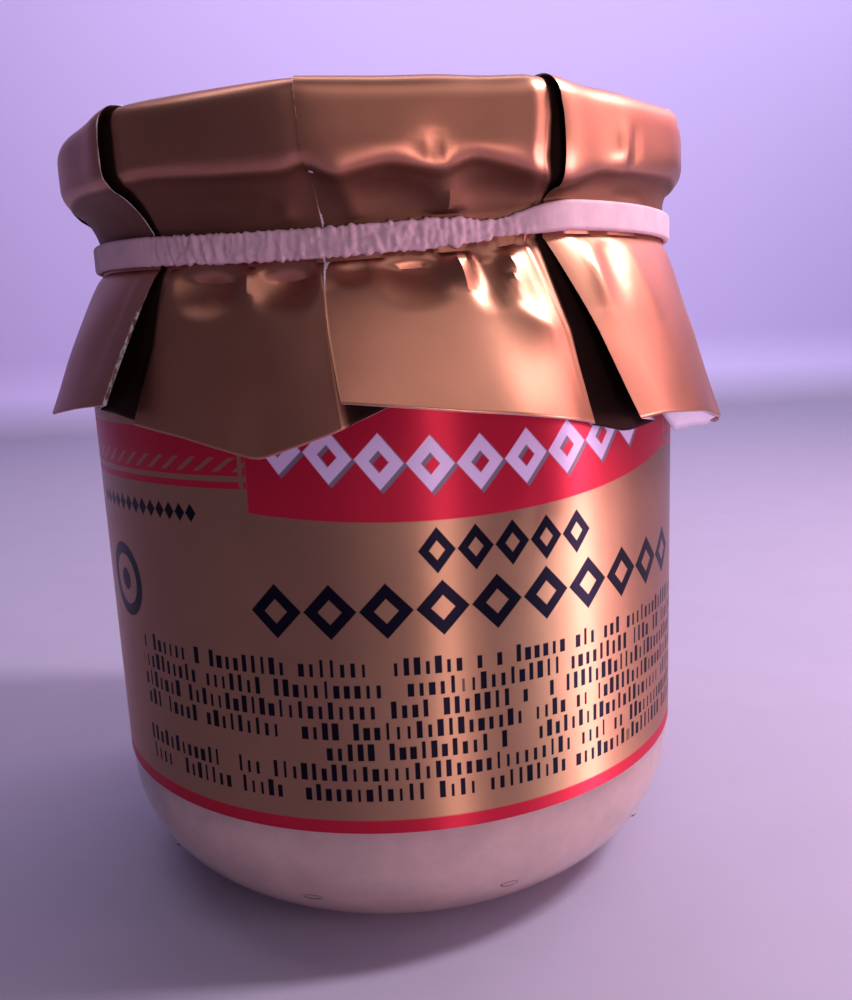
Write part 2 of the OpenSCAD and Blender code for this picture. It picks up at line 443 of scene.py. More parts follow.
def set_inputs(modifier, values):
    """Sets a Geometry Nodes modifier's named inputs by their identifiers."""
    items = modifier.node_group.interface.items_tree
    keys = {item.name: item.identifier for item in items if item.in_out == "INPUT"}
    for name, value in values.items():
        modifier[keys[name]] = value


class JAR_OT_glass(bpy.types.Operator):
    """Make the clear glass jar with its heel dashes"""

    bl_idname = "jar.glass"
    bl_label = "Glass Jar"

    def execute(self, context):
        s = context.scene.jar_glass
        heel = s.heel_radius / MM
        wall = s.wall / MM
        neck = BODY_R - s.shoulder / MM
        rim = GLASS_HIGH[2]
        turn_in = SHOULDER_START
        outer = tub_profile(BODY_R, heel, 0.0, turn_in, neck, rim)
        inner = tub_profile(BODY_R - wall, heel - wall, s.base / MM, turn_in - wall / 4, neck - wall, rim)
        rim_arc = [(neck - wall / 2, rim)]
        profile = outer + rim_arc + inner[::-1]
        mesh = lathe("glass_jar_clear", profile)
        smooth_faces(mesh, 40)
        glass = glass_material(s)
        mesh.materials.append(glass)
        piece = new_object("glass_jar_clear", mesh)
        finish_piece(piece, ["glass_jar"])

        seed = new_object("heel_dashes_seed", bpy.data.meshes.new("heel_dashes_seed"))
        modifier = seed.modifiers.new("dashes", "NODES")
        modifier.node_group = heel_dash_tree()
        slope = math.radians(DASH_SLOPE)
        set_inputs(modifier, {
            "Circle radius": (BODY_R - heel + heel * math.cos(slope)) * MM,
            "Height": (heel - heel * math.sin(slope)) * MM,
            "Dash length": s.dash_width / 2,
            "Dash thickness": DASH_THICKNESS * MM,
            "Count": s.dash_count,
            "Material": glass,
        })
        dashes = evaluated_mesh(seed, "heel_dashes")
        bpy.data.objects.remove(seed)
        smooth_faces(dashes)
        finish_piece(new_object("heel_dashes", dashes), [])
        return {"FINISHED"}


class JAR_OT_filling(bpy.types.Operator):
    """Make the mayonnaise, which reaches just into the glass"""

    bl_idname = "jar.filling"
    bl_label = "Mayonnaise"

    def execute(self, context):
        s = context.scene.jar_glass
        reach = s.into_wall / MM
        wall = s.wall / MM - reach
        heel = s.heel_radius / MM - wall
        neck = BODY_R - s.shoulder / MM - wall
        turn_in = SHOULDER_START - s.wall / MM / 4
        profile = tub_profile(BODY_R - wall, heel, s.base / MM - reach, turn_in, neck, FILL_TOP)
        profile.append((0.0, FILL_TOP))
        mesh = lathe("mayonnaise_fill", profile)
        smooth_faces(mesh, 40)
        mesh.materials.append(filling_material(s))
        finish_piece(new_object("mayonnaise_fill", mesh), ["mayonnaise"])
        return {"FINISHED"}


# ---------------------------------------------------------------- label


# The label off the glass and inside its box, in millimetres, and its seam behind, in degrees
LABEL_OFF = 0.03
LABEL_CLEAR = 0.02
LABEL_STEPS = 360
SEAM_LAP = 4.3
SEAM_RISE = 2.0


class Print:
    """Masks for shapes printed on a surface laid out in millimetres: u runs round it, v up it."""

    def __init__(self, n, u, v):
        self.n = n
        self.u = u
        self.v = v
        self.edge = 0.07

    def band(self, value, low, high, soft=None):
        soft = soft or self.edge
        rise = self.n.step(value, low - soft, low + soft)
        fall = self.n.step(value, high + soft, high - soft)
        return self.n.math("MULTIPLY", rise, fall)

    def both(self, *masks):
        result = masks[0]
        for mask in masks[1:]:
            result = self.n.math("MULTIPLY", result, mask)
        return result

    def either(self, *masks):
        result = masks[0]
        for mask in masks[1:]:
            result = self.n.math("MAXIMUM", result, mask)
        return result

    def lozenges(self, start, pitch, count, low, high, fill, hollow=0.0, rise=0.0, shift=0.0):
        """A row of lozenges, hollow out to a share of their size; rise arches the row up at its ends."""
        m = self.n.math
        u = m("SUBTRACT", self.u, shift)
        half = pitch * count / 2
        height = m("ADD", self.v, shift)
        if rise:
            away = m("ABSOLUTE", m("DIVIDE", m("SUBTRACT", u, start + half), half))
            height = m("SUBTRACT", height, m("MULTIPLY", m("POWER", away, 2.0), rise))
        cell = m("FRACT", m("DIVIDE", m("SUBTRACT", u, start), pitch))
        x = m("DIVIDE", m("ABSOLUTE", m("SUBTRACT", cell, 0.5)), fill / 2)
        y = m("DIVIDE", m("ABSOLUTE", m("SUBTRACT", height, (low + high) / 2)), (high - low) / 2)
        far = m("ADD", x, y)
        soft = self.edge / pitch * 2
        shape = self.n.step(far, 1.0 + soft, 1.0 - soft)
        if hollow:
            shape = self.both(shape, self.n.step(far, hollow - soft, hollow + soft))
        return self.both(shape, self.band(u, start, start + pitch * count))

    def small_lines(self, first, line_pitch, lines, pitch):
        """Lines of small upright marks of changing width and height, with gaps between groups of them."""
        m = self.n.math
        row = m("DIVIDE", m("SUBTRACT", self.v, first), line_pitch)
        line = m("FLOOR", row)
        column = m("DIVIDE", m("ADD", self.u, m("MULTIPLY", line, 0.37)), pitch)
        cell = m("FLOOR", column)
        spot = self.n.add("ShaderNodeCombineXYZ")
        self.n.put(cell, spot.inputs["X"])
        self.n.put(line, spot.inputs["Y"])
        chance = self.n.add("ShaderNodeTexWhiteNoise", noise_dimensions="2D")
        self.n.put(spot.outputs[0], chance.inputs["Vector"])
        draw = chance.outputs["Value"]
        tall = self.n.step(draw, 0.60, 0.62)
        half_y = m("MULTIPLY_ADD", tall, 0.26, 0.76)
        x = m("MULTIPLY", m("ABSOLUTE", m("SUBTRACT", m("FRACT", column), 0.5)), pitch)
        above = m("MULTIPLY", m("FRACT", row), line_pitch)
        y = m("ABSOLUTE", m("SUBTRACT", above, half_y))
        half_x = m("MULTIPLY_ADD", m("FRACT", m("MULTIPLY", draw, 7.3)), 0.24, 0.14)
        shape = self.both(self.n.step(m("SUBTRACT", x, half_x), 0.05, -0.03),
                          self.n.step(m("SUBTRACT", y, half_y), 0.04, -0.06))
        shape = self.both(shape, self.n.step(draw, 0.13, 0.14))
        indent = m("MULTIPLY", self.n.step(m("ABSOLUTE", m("SUBTRACT", line, 2.0)), 0.6, 0.4), 27.0)
        starts = self.n.step(m("SUBTRACT", self.u, indent), -36.1, -35.9)
        lines_high = self.band(self.v, first - 0.1, first + line_pitch * lines, 0.02)
        return self.both(shape, lines_high, starts, self.n.step(self.u, 66.2, 66.0))


def label_print(n, u, v):
    """Masks of everything printed on the label: dark ink, red fields, pale lozenges and their shade."""
    p = Print(n, u, v)
    m = n.math
    ring_u = m("SUBTRACT", u, -39.4)
    ring_v = m("SUBTRACT", v, 44.4)
    away = m("SQRT", m("ADD", m("MULTIPLY", ring_u, ring_u), m("MULTIPLY", ring_v, ring_v)))
    ink = p.either(
        p.small_lines(21.9, 2.45, 7, 1.16),
        p.lozenges(2.4, 4.25, 5, 47.8, 52.9, 0.96, 0.42),
        p.lozenges(-16.4, 6.1, 10, 40.9, 47.1, 0.96, 0.45),
        p.lozenges(-45.5, 1.75, 13, 53.4, 55.5, 0.92),
        p.band(away, 3.2, 4.7),
        n.step(away, 1.5, 1.3),
    )
    bow = m("MULTIPLY", m("POWER", m("ABSOLUTE", m("SUBTRACT", u, 4.5)), 2.0), 0.0030)
    banner = p.both(p.band(u, -15.7, 41.5), n.step(m("SUBTRACT", v, m("ADD", bow, 53.6)), -p.edge, p.edge))
    beside = m("ABSOLUTE", m("SUBTRACT", u, 12.9))
    strips = p.both(n.step(beside, 28.5, 28.7), p.band(v, 57.4, 64.0))
    line = p.band(v, 58.2, 58.8, 0.05)
    lean = m("FRACT", m("DIVIDE", m("SUBTRACT", u, m("MULTIPLY", v, 1.5)), 2.6))
    dashes = p.both(p.band(lean, 0.12, 0.42, 0.04), p.band(v, 59.3, 60.8, 0.1))
    upright = p.both(p.band(beside, 29.0, 29.5, 0.05), n.step(v, 57.3, 57.5))
    bare = p.either(p.both(strips, p.either(line, dashes)), upright)
    stripe = n.step(v, 19.7, 19.5)
    red = m("MULTIPLY", p.either(stripe, banner, strips), m("SUBTRACT", 1.0, bare))
    pale = p.lozenges(-14.5, 5.35, 9, 56.5, 62.5, 0.96, 0.40, 3.2)
    shade = p.lozenges(-14.5, 5.35, 9, 56.4, 62.6, 1.0, 0.34, 3.2, 0.30)
    return ink, red, pale, shade


def label_material(settings):
    """Metallised paper that gleams in upright streaks, with its print."""
    n = Nodes("printed_label")
    uv = n.add("ShaderNodeUVMap", uv_map="print")
    split = n.add("ShaderNodeSeparateXYZ")
    n.put(uv.outputs[0], split.inputs[0])
    ink, red, pale, shade = label_print(n, split.outputs["X"], split.outputs["Y"])
    brushed = n.noise(n.coordinates((1.0, 1.0, 0.18)), 900.0, 3.0, 0.6)
    mottle = n.noise(n.coordinates(), 55.0, 4.0, 0.6)
    grain = n.noise(n.coordinates(), 1700.0, 2.0, 0.6)
    metal = rgba(settings.metal)
    darker = rgba(settings.metal, 0.80)
    base = n.blend(n.remap(mottle, 0.35, 0.68, 0.0, 1.0), darker, metal)
    base = n.blend(n.math("MULTIPLY", brushed, 0.30), base, darker)
    base = n.blend(red, base, rgba(settings.red))
    base = n.blend(shade, base, rgba(settings.pale, 0.25))
    base = n.blend(pale, base, rgba(settings.pale))
    base = n.blend(ink, base, rgba(settings.ink))
    printed = n.math("MULTIPLY", n.math("MAXIMUM", pale, shade), 0.8)
    metallic = n.math("SUBTRACT", 1.0, n.math("MAXIMUM", printed, n.math("MULTIPLY", red, 0.35)))
    rough = n.math("ADD", settings.roughness, n.math("MULTIPLY", mottle, 0.10))
    n.bump(grain, 0.12, 0.00004)
    n.set(Base_Color=base, Metallic=metallic, Roughness=rough, Anisotropic=0.93, Anisotropic_Rotation=0.25)
    tangent = n.add("ShaderNodeTangent", direction_type="RADIAL", axis="Z")
    n.put(tangent.outputs[0], n.shader.inputs["Tangent"])
    return n.material


class JAR_OT_label(bpy.types.Operator):
    """Make the label, wound once round the body with a lapped seam at the back"""

    bl_idname = "jar.label"
    bl_label = "Label"

    def execute(self, context):
        s = context.scene.jar_label
        inner = BODY_R + LABEL_OFF
        outer = LABEL_HIGH[0] - LABEL_CLEAR
        steps = LABEL_STEPS
        turns = np.linspace(-180.0 - SEAM_LAP, 180.0 + SEAM_LAP, steps + 1)
        lap_start = 180.0 - SEAM_LAP - SEAM_RISE
        lift = ease((turns - lap_start) / SEAM_RISE) * (outer - inner + LABEL_CLEAR)
        heights = np.linspace(LABEL_LOW[2], LABEL_HIGH[2], 9)
        walls = [(inner, heights), (outer, heights[::-1])]
        vertices = []
        marks = []
        for radius, levels in walls:
            for z in levels:
                vertices.append(at(turns, radius + lift, z))
                marks.append(np.stack([np.radians(turns) * BODY_R, np.full(len(turns), z)], axis=-1))
        vertices = np.concatenate(vertices)
        marks = np.concatenate(marks)
        rows = 2 * len(heights)
        width = len(turns)
        faces = []
        for i in range(rows):
            a = i * width
            b = (i + 1) % rows * width
            for j in range(steps):
                faces.append((a + j, b + j, b + j + 1, a + j + 1))
        faces.append([i * width for i in range(rows)][::-1])
        faces.append([i * width + steps for i in range(rows)])
        mesh = bpy.data.meshes.new("label_print")
        mesh.from_pydata(vertices.tolist(), [], faces)
        layer = mesh.uv_layers.new(name="print")
        loops = np.empty(len(mesh.loops), np.int32)
        mesh.loops.foreach_get("vertex_index", loops)
        layer.data.foreach_set("uv", marks[loops].ravel())
        smooth_faces(mesh, 40)
        mesh.materials.append(label_material(s))
        finish_piece(new_object("label_print", mesh), ["label"])
        return {"FINISHED"}


# ---------------------------------------------------------------- foil cover

# The four pleats that show from the front, from left to right; the rest follow evenly behind them.
# The crest is the fold's upper edge, listed from the lid's top edge to the band and then to the hem.
# A side of 1 lays the left flap on top. The gap is the open fold beside the crest, in degrees.
# The lift is how far the crest stands off the lid, the lip how far the tucked flap does, in
# millimetres, and the depth is how far the tucked flap sinks at the hem.
FRONT_PLEATS = [
    {"side": 1, "crest": (-41.2, -43.2, -43.2, -41.2), "hem": (-40.4, -40.6, -41.5),
     "gap": (0.8, 2.4, 2.2, 1.8), "hem_gap": (1.9, 2.3, 0.5), "lap": 5.0, "hem_lap": 14.0,
     "lift": 1.1, "lip": 0.35, "depth": 1.5, "wear": (0.75, 0.75, 0.6), "torn": 1.0},
    {"side": -1, "crest": (-10.6, -10.0, -9.4, -8.8), "hem": (-8.8, -7.4, -5.5),
     "gap": (0.2, 0.2, 0.3, 0.3), "hem_gap": (0.3, 0.3, 0.3), "lap": 4.0, "hem_lap": 7.0,
     "lift": 0.50, "lip": 0.12, "depth": 0.8, "wear": (0.55, 0.0, 0.15), "torn": 0.0},
    {"side": -1, "crest": (24.2, 26.8, 27.8, 27.0), "hem": (26.7, 31.6, 35.8),
     "gap": (0.7, 1.1, 1.9, 2.9, 2.0, 0.7, 0.6), "hem_gap": (2.0, 3.3, 5.8), "lap": 6.0, "hem_lap": 12.0,
     "lift": 1.15, "lip": 0.75, "depth": 2.2, "wear": (0.25, 0.2, 0.45), "torn": 0.0},
    {"side": 1, "crest": (59.5, 59.8, 60.2, 60.5), "hem": (60.8, 63.0, 66.0),
     "gap": (0.5, 0.25, 0.2, 0.2), "hem_gap": (0.4, 0.7, 1.0), "lap": 5.0, "hem_lap": 6.0,
     "lift": 0.4, "lip": 0.12, "depth": 1.0, "wear": (0.35, 0.3, 0.35), "torn": 0.0},
]

# Hem of the flaps between them, from left to right: radius along the part that shows, then
# height along the whole flap with what is tucked under, each as (azimuth, millimetres)
FRONT_HEMS = {
    -1: (((-97.0, 43.6), (-80.0, 44.5), (-63.5, 45.6), (-41.5, 45.4)),
         ((-110.0, 66.8), (-97.0, 66.2), (-76.0, 65.6), (-63.5, 65.0), (-50.0, 66.2), (-41.5, 66.8))),
    0: (((-41.0, 42.6), (-30.0, 43.3), (-17.5, 44.0), (-5.8, 44.3)),
        ((-58.5, 65.6), (-49.8, 65.3), (-30.0, 63.3), (-17.5, 61.1), (-7.5, 63.5), (1.5, 66.4))),
    1: (((-5.5, 45.6), (10.0, 46.1), (17.0, 46.2), (24.0, 45.6), (30.0, 44.2)),
        ((-5.5, 66.7), (5.0, 65.8), (16.5, 64.7), (30.0, 63.0), (39.4, 61.1), (50.0, 61.8))),
    2: (((35.8, 46.5), (41.0, 46.7), (52.0, 46.9), (65.0, 46.6)),
        ((35.8, 63.1), (41.0, 63.3), (52.0, 62.6), (64.0, 60.8), (72.0, 61.4))),
    3: (((66.0, 46.5), (80.0, 46.0), (100.0, 45.2)),
        ((66.0, 60.6), (76.0, 59.0), (88.0, 58.8), (97.0, 60.4), (112.0, 63.0))),
}

# The corner of the right front flap that is turned under: azimuths, and how far it hangs down
TURNED_FROM = 42.0
TURNED_TO = 65.8
TURNED_DROP = 2.5

# Edges over the lid, in millimetres and degrees
LID_TOP_EDGE = 2.5
LID_LOW_EDGE = 3.5
UNDER_RIM_ANGLE = 60.0
# How dark the painted shade under the lid's rim is
UNDER_RIM_SHADE = 0.65
WORN_WIDTH = 0.30
TORN_WIDTH = 1.3
FLARE_POWER = 0.82
CROWN = 0.30
LIFTED = 0.6
LIFTED_STEP = 0.12
FLAP_OFF = 0.10
EDGE_REACH = 4.5
ROLL_REACH = 1.8
SINK_REACH = 1.3
NEAR_REACH = 3.5
FOLD_CLEAR = 0.17
HEM_HEIGHT = 66.4
HEM_OUT = 45.6
HEM_IN = 44.0
LEFT_FLAP_EXTRA = 12.0
WOBBLE = 2.2
WOBBLE_TURN = 97.0

# The gathered strip under the band: how far in it sits, where it bulks out, and where it sags
BAND_DROP = 5.2
BAND_CLEAR = 0.3
GATHER_INSET = 3.05
GATHER_BULK = 1.6
BULK_START = 16.0
BULK_RISE = 16.0
BULK_END = 110.0
BULK_FALL = 60.0
BAND_RISE = 1.15
BAND_SAG = 1.25
SAG_AT = -15.0
SAG_REACH = 32.0
MM_PER_DEGREE = 41.0 * math.pi / 180.0

# How far the edge under the rim wanders up, as (azimuth, millimetres)
RIM_EDGE = ((-75.0, 0.4), (-36.0, 0.7), (-24.0, 0.0), (-13.0, -0.1), (-9.6, 0.6), (-5.6, -0.8), (2.0, 0.2),
            (9.0, -0.7), (14.0, 0.6), (19.0, 0.0), (26.0, -1.0), (28.7, -1.1), (36.0, -0.1), (62.0, 0.6),
            (75.0, 0.4))

# Parts of a flap, from left to right, and kinds of row, from the top down
TUCK_START, MAIN, TUCK_END, FOLD = range(4)
LID, UNDER, BAND, SKIRT = range(4)


def right_side(azimuth):
    """1 where the band and the foil under it bulk out, at the right of the front."""
    a = turned(azimuth)
    return ease((a - BULK_START) / BULK_RISE) * (1.0 - ease((a - BULK_END) / BULK_FALL))


def band_height(azimuth):
    """Height of the band's middle."""
    a = turned(azimuth)
    sag = np.exp(-((a - SAG_AT) / SAG_REACH) ** 2)
    return LID_LOW[2] - BAND_DROP + BAND_RISE * right_side(a) - BAND_SAG * sag


def gathered_radius(azimuth):
    """Radius of the foil where the band gathers it."""
    return BODY_R - GATHER_INSET + GATHER_BULK * right_side(azimuth)


def wobble(k):
    """A small uneven number for each k, so that the pleats behind differ."""
    return WOBBLE * math.sin(math.radians(WOBBLE_TURN * k))


def all_pleats(count):
    """Every pleat, the front ones as listed and the rest evenly spaced behind them."""
    found = [dict(p) for p in FRONT_PLEATS]
    first = found[-1]["crest"][0]
    gap = (360.0 + found[0]["crest"][0] - first - LEFT_FLAP_EXTRA) / (count - len(found) + 1)
    for i in range(1, count - len(found) + 1):
        top = first + gap * i + wobble(i)
        low = top + wobble(i + 3)
        found.append({
            "side": 1 if wobble(i + 1) > 0 else -1,
            "crest": (top, mix(top, low, 0.3), mix(top, low, 0.7), low),
            "hem": (low, low + wobble(i + 5) * 0.6, low + wobble(i + 5) * 1.4),
            "gap": (0.3, 0.4, 0.9 + wobble(i + 4) / 4, 0.4),
            "hem_gap": (0.6, 1.2, 2.4 + wobble(i) / 2), "lap": 4.5, "hem_lap": 7.0,
            "lift": 0.55 + 0.1 * wobble(i + 2), "lip": 0.2, "depth": 1.2,
            "wear": (0.5, 0.2, 0.4), "torn": 0.0,
        })
    return found


def along(values, share):
    """Value at a share along evenly spaced values."""
    return float(np.interp(share, np.linspace(0.0, 1.0, len(values)), values))


def softened(x, knots, reach=2.5):
    """Straight-line interpolation with its corners rounded over a reach."""
    xs = [k[0] for k in knots]
    ys = [k[1] for k in knots]
    shifts = np.linspace(-reach, reach, 9)
    inside = [np.interp(np.clip(x + shift, xs[0], xs[-1]), xs, ys) for shift in shifts]
    return np.mean(inside, axis=0)


def rim_wave(azimuth):
    """How far the edge under the lid's rim wanders up and down."""
    return softened(turned(azimuth), RIM_EDGE, 1.2)


class Sheet:
    """The cover as one folded sheet: rows run from the lid's middle to the hem, columns round it."""

    def __init__(self, settings):
        self.count = settings.pleats
        self.off = (settings.lid_gap + settings.thickness) / MM
        self.band_half = settings.band_width / MM / 2 + BAND_CLEAR
        self.pleats = all_pleats(self.count)
        self.kind, self.share, self.base, self.normal = self.make_rows()
        self.flap, self.part, self.f = self.make_columns()

    def make_rows(self):
        """For each row its kind, its share of the way, its angle or share in its part, and its normal."""
        rows = [(LID, r, 90.0) for r in (9.0, 18.0, 27.0, 32.0, 35.0, 37.0)]
        flat = len(rows)
        rows += [(LID, 0.0, a) for a in np.linspace(90, 0, 12)]
        rows += [(LID, t, 0.0) for t in np.linspace(0, 1, 6)[1:]]
        rows += [(LID, 1.0, -a) for a in np.linspace(0, UNDER_RIM_ANGLE, 12)[1:]]
        rows += [(UNDER, t, -UNDER_RIM_ANGLE) for t in np.linspace(0, 1, 14)[1:]]
        span = len(rows) - flat
        kind, share, base, normal = [], [], [], []
        for i, (what, value, angle) in enumerate(rows):
            kind.append(what)
            share.append(max(0.0, (i - flat + 1) / span))
            base.append((value, angle))
            if what == LID:
                normal.append((math.cos(math.radians(angle)), math.sin(math.radians(angle))))
            else:
                normal.append((0.9, -0.3))
        for t in (1 / 3, 2 / 3, 1.0):
            kind.append(BAND)
            share.append(t)
            base.append((t, 0.0))
            normal.append((1.0, 0.0))
        for t in np.linspace(0, 1, 51)[1:]:
            kind.append(SKIRT)
            share.append(t)
            base.append((t, 0.0))
            normal.append((0.914, 0.406))
        return np.array(kind), np.array(share), base, np.array(normal)

    def make_columns(self):
        """For each column its flap, its part of the flap and its share across that part."""
        columns = []
        for k in range(self.count):
            seen = k in (self.count - 1, 0, 1, 2)
            across, tuck = (48, 9) if seen else (22, 6)
            if self.pleats[k]["side"] > 0:
                columns += [(k, TUCK_START, f) for f in np.linspace(0, 1, tuck + 1)[:-1] ** 0.6]
            even = np.linspace(0, 1, across)
            columns += [(k, MAIN, f) for f in even - 0.82 * np.sin(2 * math.pi * even) / (2 * math.pi)]
            if self.pleats[(k + 1) % self.count]["side"] < 0:
                columns += [(k, TUCK_END, f) for f in 1 - np.linspace(1, 0, tuck + 1)[1:] ** 0.6]
            near = (0.03, 0.4, 0.75) if self.pleats[(k + 1) % self.count]["side"] > 0 else (0.25, 0.6, 0.97)
            columns += [(k, FOLD, f) for f in near]
        flap, part, f = zip(*columns)
        return np.array(flap), np.array(part), np.array(f)

    def lines(self, index, row):
        """Azimuths of a pleat's crest, of the edge where the tucked flap dives, and of its hidden end."""
        pleat = self.pleats[index % self.count]
        whole = 360.0 * (index // self.count)
        kind, share = self.kind[row], self.share[row]
        if kind in (LID, UNDER):
            crest, gap = along(pleat["crest"], share), along(pleat["gap"], share)
            lap = pleat["lap"]
            opening = ease(share * 2.2)
            gap *= ease(share * 8.0)
            lap *= opening
        elif kind == BAND:
            crest = mix(pleat["crest"][-1], pleat["hem"][0], share)
            gap = mix(pleat["gap"][-1], pleat["hem_gap"][0], share)
            lap = pleat["lap"]
        else:
            crest, gap = along(pleat["hem"], share), along(pleat["hem_gap"], share)
            lap = mix(pleat["lap"], pleat["hem_lap"], share)
        crest += whole
        return crest, crest + pleat["side"] * gap, crest - pleat["side"] * lap

    def azimuths(self, k, row):
        """Azimuths of a flap's columns, part by part."""
        crest, dive, end = self.lines(k, row)
        tucked_start = self.pleats[k % self.count]["side"] > 0
        left = dive if tucked_start else crest
        crest2, dive2, end2 = self.lines(k + 1, row)
        tucked_end = self.pleats[(k + 1) % self.count]["side"] < 0
        right = dive2 if tucked_end else crest2
        mine = self.flap == k
        part, f = self.part[mine], self.f[mine]
        result = np.where(part == MAIN, mix(left, right, f), 0.0)
        result = np.where(part == TUCK_START, mix(end, left, f), result)
        result = np.where(part == TUCK_END, mix(right, end2, f), result)
        return result, left, right

    def hem(self, k, azimuth, left, right):
        """Radius and height of the hem of flap k at azimuths between its edges and beyond."""
        key = k if k <= 3 else (-1 if k == self.count - 1 else None)
        if key is not None:
            radii, heights = FRONT_HEMS[key]
            base = turned(azimuth) if key == -1 else azimuth
            return softened(base, radii), softened(base, heights, 1.2)
        share = np.clip((azimuth - left) / (right - left), 0.0, 1.0)
        start = HEM_OUT if self.pleats[k]["side"] < 0 else HEM_IN
        end = HEM_OUT if self.pleats[(k + 1) % self.count]["side"] > 0 else HEM_IN
        corner = 0.5 + wobble(k) / 8
        drop = 1.0 - np.abs(share - corner) / max(corner, 1.0 - corner)
        return mix(start, end, ease(share)), HEM_HEIGHT - (1.6 + wobble(k) / 2) * drop

    def flap_rows(self, k):
        """Azimuth, radius and height of the points of flap k, its folds left out."""
        mine = self.flap == k
        part = self.part[mine]
        first, second = self.pleats[k], self.pleats[(k + 1) % self.count]
        last, hem_left, hem_right = self.azimuths(k, len(self.kind) - 1)
        hem_r, hem_z = self.hem(k, last, hem_left, hem_right)
        edge_l, edge_r = hem_r[part == MAIN][0], hem_r[part == MAIN][-1]
        hem_r = np.where(part == TUCK_START, edge_l, np.where(part == TUCK_END, edge_r, hem_r))
        rows = []
        for i in range(len(self.kind)):
            azimuth, left, right = self.azimuths(k, i)
            kind, share = self.kind[i], self.share[i]
            value, angle = self.base[i]
            to_left = np.maximum(azimuth - left, 0.0) * MM_PER_DEGREE
            to_right = np.maximum(right - azimuth, 0.0) * MM_PER_DEGREE
            sunk = np.where(part == TUCK_END, azimuth - right, 0.0)
            sunk = np.where(part == TUCK_START, left - azimuth, sunk)
            sunk = ease(sunk * MM_PER_DEGREE / SINK_REACH)
            rise_l = first["lip"] if first["side"] > 0 else first["lift"]
            rise_r = second["lip"] if second["side"] < 0 else second["lift"]
            out = FLAP_OFF + rise_l * np.exp(-(to_left / EDGE_REACH) ** 2)
            out = out + rise_r * np.exp(-(to_right / EDGE_REACH) ** 2)
            roll = 0.5 * (first["side"] > 0) * rise_l * (1.0 - ease(to_left / ROLL_REACH))
            roll = roll + 0.5 * (second["side"] < 0) * rise_r * (1.0 - ease(to_right / ROLL_REACH))
            tucked = 0.5 * np.where(part == TUCK_START, rise_l, rise_r) + FLAP_OFF
            out = np.where(part == MAIN, out - roll, tucked)
            out = out * (1.0 - sunk)
            band_top = band_height(azimuth) + self.band_half
            crown = gathered_radius(azimuth) + CROWN * (1.0 - sunk) + LIFTED_STEP * (out > LIFTED)
            if kind in (LID, UNDER):
                radius, height = self.lid_point(azimuth, kind, value, angle, share, out, to_left, to_right)
                if kind == UNDER:
                    bow = 0.55 * math.sin(math.pi * value)
                    radius = mix(radius, crown, value ** 0.8) - 0.3 * bow
                    height = mix(height, band_top, value) + 0.2 * bow
            elif kind == BAND:
                radius, height = crown, band_top - 2 * self.band_half * share
            else:
                depth = np.where(part == TUCK_START, first["depth"], second["depth"]) * sunk
                flare = share ** FLARE_POWER
                radius = mix(crown, hem_r - depth * share ** 0.5, flare)
                height = mix(band_top - 2 * self.band_half, hem_z, share)
            rows.append(np.stack(np.broadcast_arrays(azimuth, radius, height), axis=-1))
        return mine, np.array(rows)

    def lid_point(self, azimuth, kind, value, angle, share, out, to_left, to_right):
        """Radius and height over the lid: its edges are squarer at the pleats than between them."""
        near = np.exp(-np.minimum(to_left, to_right) / NEAR_REACH)
        upper_r, upper_z = LID_R - LID_TOP_EDGE, LID_HIGH[2] - LID_TOP_EDGE
        lower_r, lower_z = LID_R - LID_LOW_EDGE, LID_LOW[2] + LID_LOW_EDGE
        c, s = math.cos(math.radians(angle)), math.sin(math.radians(angle))
        out = out * ease(share * 7.0)
        if angle > 0.0 and value > 0.0:
            return np.full_like(azimuth, value), np.full_like(azimuth, LID_HIGH[2] + self.off)
        if angle > 0.0 or (kind == LID and value == 0.0):
            power = mix(0.86, 0.60, near)
            reach = LID_TOP_EDGE + self.off
            return (upper_r + reach * c ** power + out * c,
                    upper_z + reach * max(s, 0.0) ** power + 0.4 * out * s)
        if kind == LID and angle == 0.0:
            return LID_R + self.off + out, mix(upper_z, lower_z, value) + 0.0 * azimuth
        power = mix(0.64, 0.92, ease((np.abs(turned(azimuth)) - 45.0) / 22.0))
        reach = LID_LOW_EDGE + self.off
        lift = rim_wave(azimuth) * ease(-angle / 40.0)
        return (lower_r + reach * c ** power + out * c,
                lower_z - reach * (-s) ** power + 0.6 * out * s + lift)

    def fill_folds(self, grid):
        """Puts the fold-back strips between the flaps, clear of the flap that lies on top."""
        clear = FOLD_CLEAR * ease(np.where(self.kind <= UNDER, self.share, 1.0) * 3.0)
        for k in range(self.count):
            flap = np.flatnonzero((self.flap == k) & (self.part != FOLD))
            after = np.flatnonzero((self.flap == (k + 1) % self.count) & (self.part != FOLD))
            strip = np.flatnonzero((self.flap == k) & (self.part == FOLD))
            first = grid[:, flap[-1]].copy()
            second = grid[:, after[0]].copy()
            second[:, 0] += 360.0 if k == self.count - 1 else 0.0
            if self.pleats[(k + 1) % self.count]["side"] > 0:
                low_first, low_second = clear, 0.0
            else:
                low_first, low_second = 0.0, clear
            for column in strip:
                point = mix(first, second, self.f[column])
                point[:, 1] -= mix(low_first, low_second, self.f[column])
                grid[:, column] = point

    def points(self):
        """Grid of azimuth, radius and height, rows by columns."""
        grid = np.zeros((len(self.kind), len(self.flap), 3))
        for k in range(self.count):
            mine, rows = self.flap_rows(k)
            grid[:, mine] = rows
        push = crumple(grid[..., 0], grid[..., 2]) * self.freedom()[:, None]
        grid[..., 1] += push * self.normal[:, 0][:, None]
        grid[..., 2] += push * self.normal[:, 1][:, None]
        wall = (grid[..., 2] > LID_LOW[2] + 3.0) & (grid[..., 2] < LID_HIGH[2] - 2.0)
        grid[..., 1] = np.where(wall, np.maximum(grid[..., 1], LID_R + self.off - 0.12), grid[..., 1])
        grid[..., 2] = np.minimum(grid[..., 2], TOP_Z - 0.02)
        self.fill_folds(grid)
        return grid

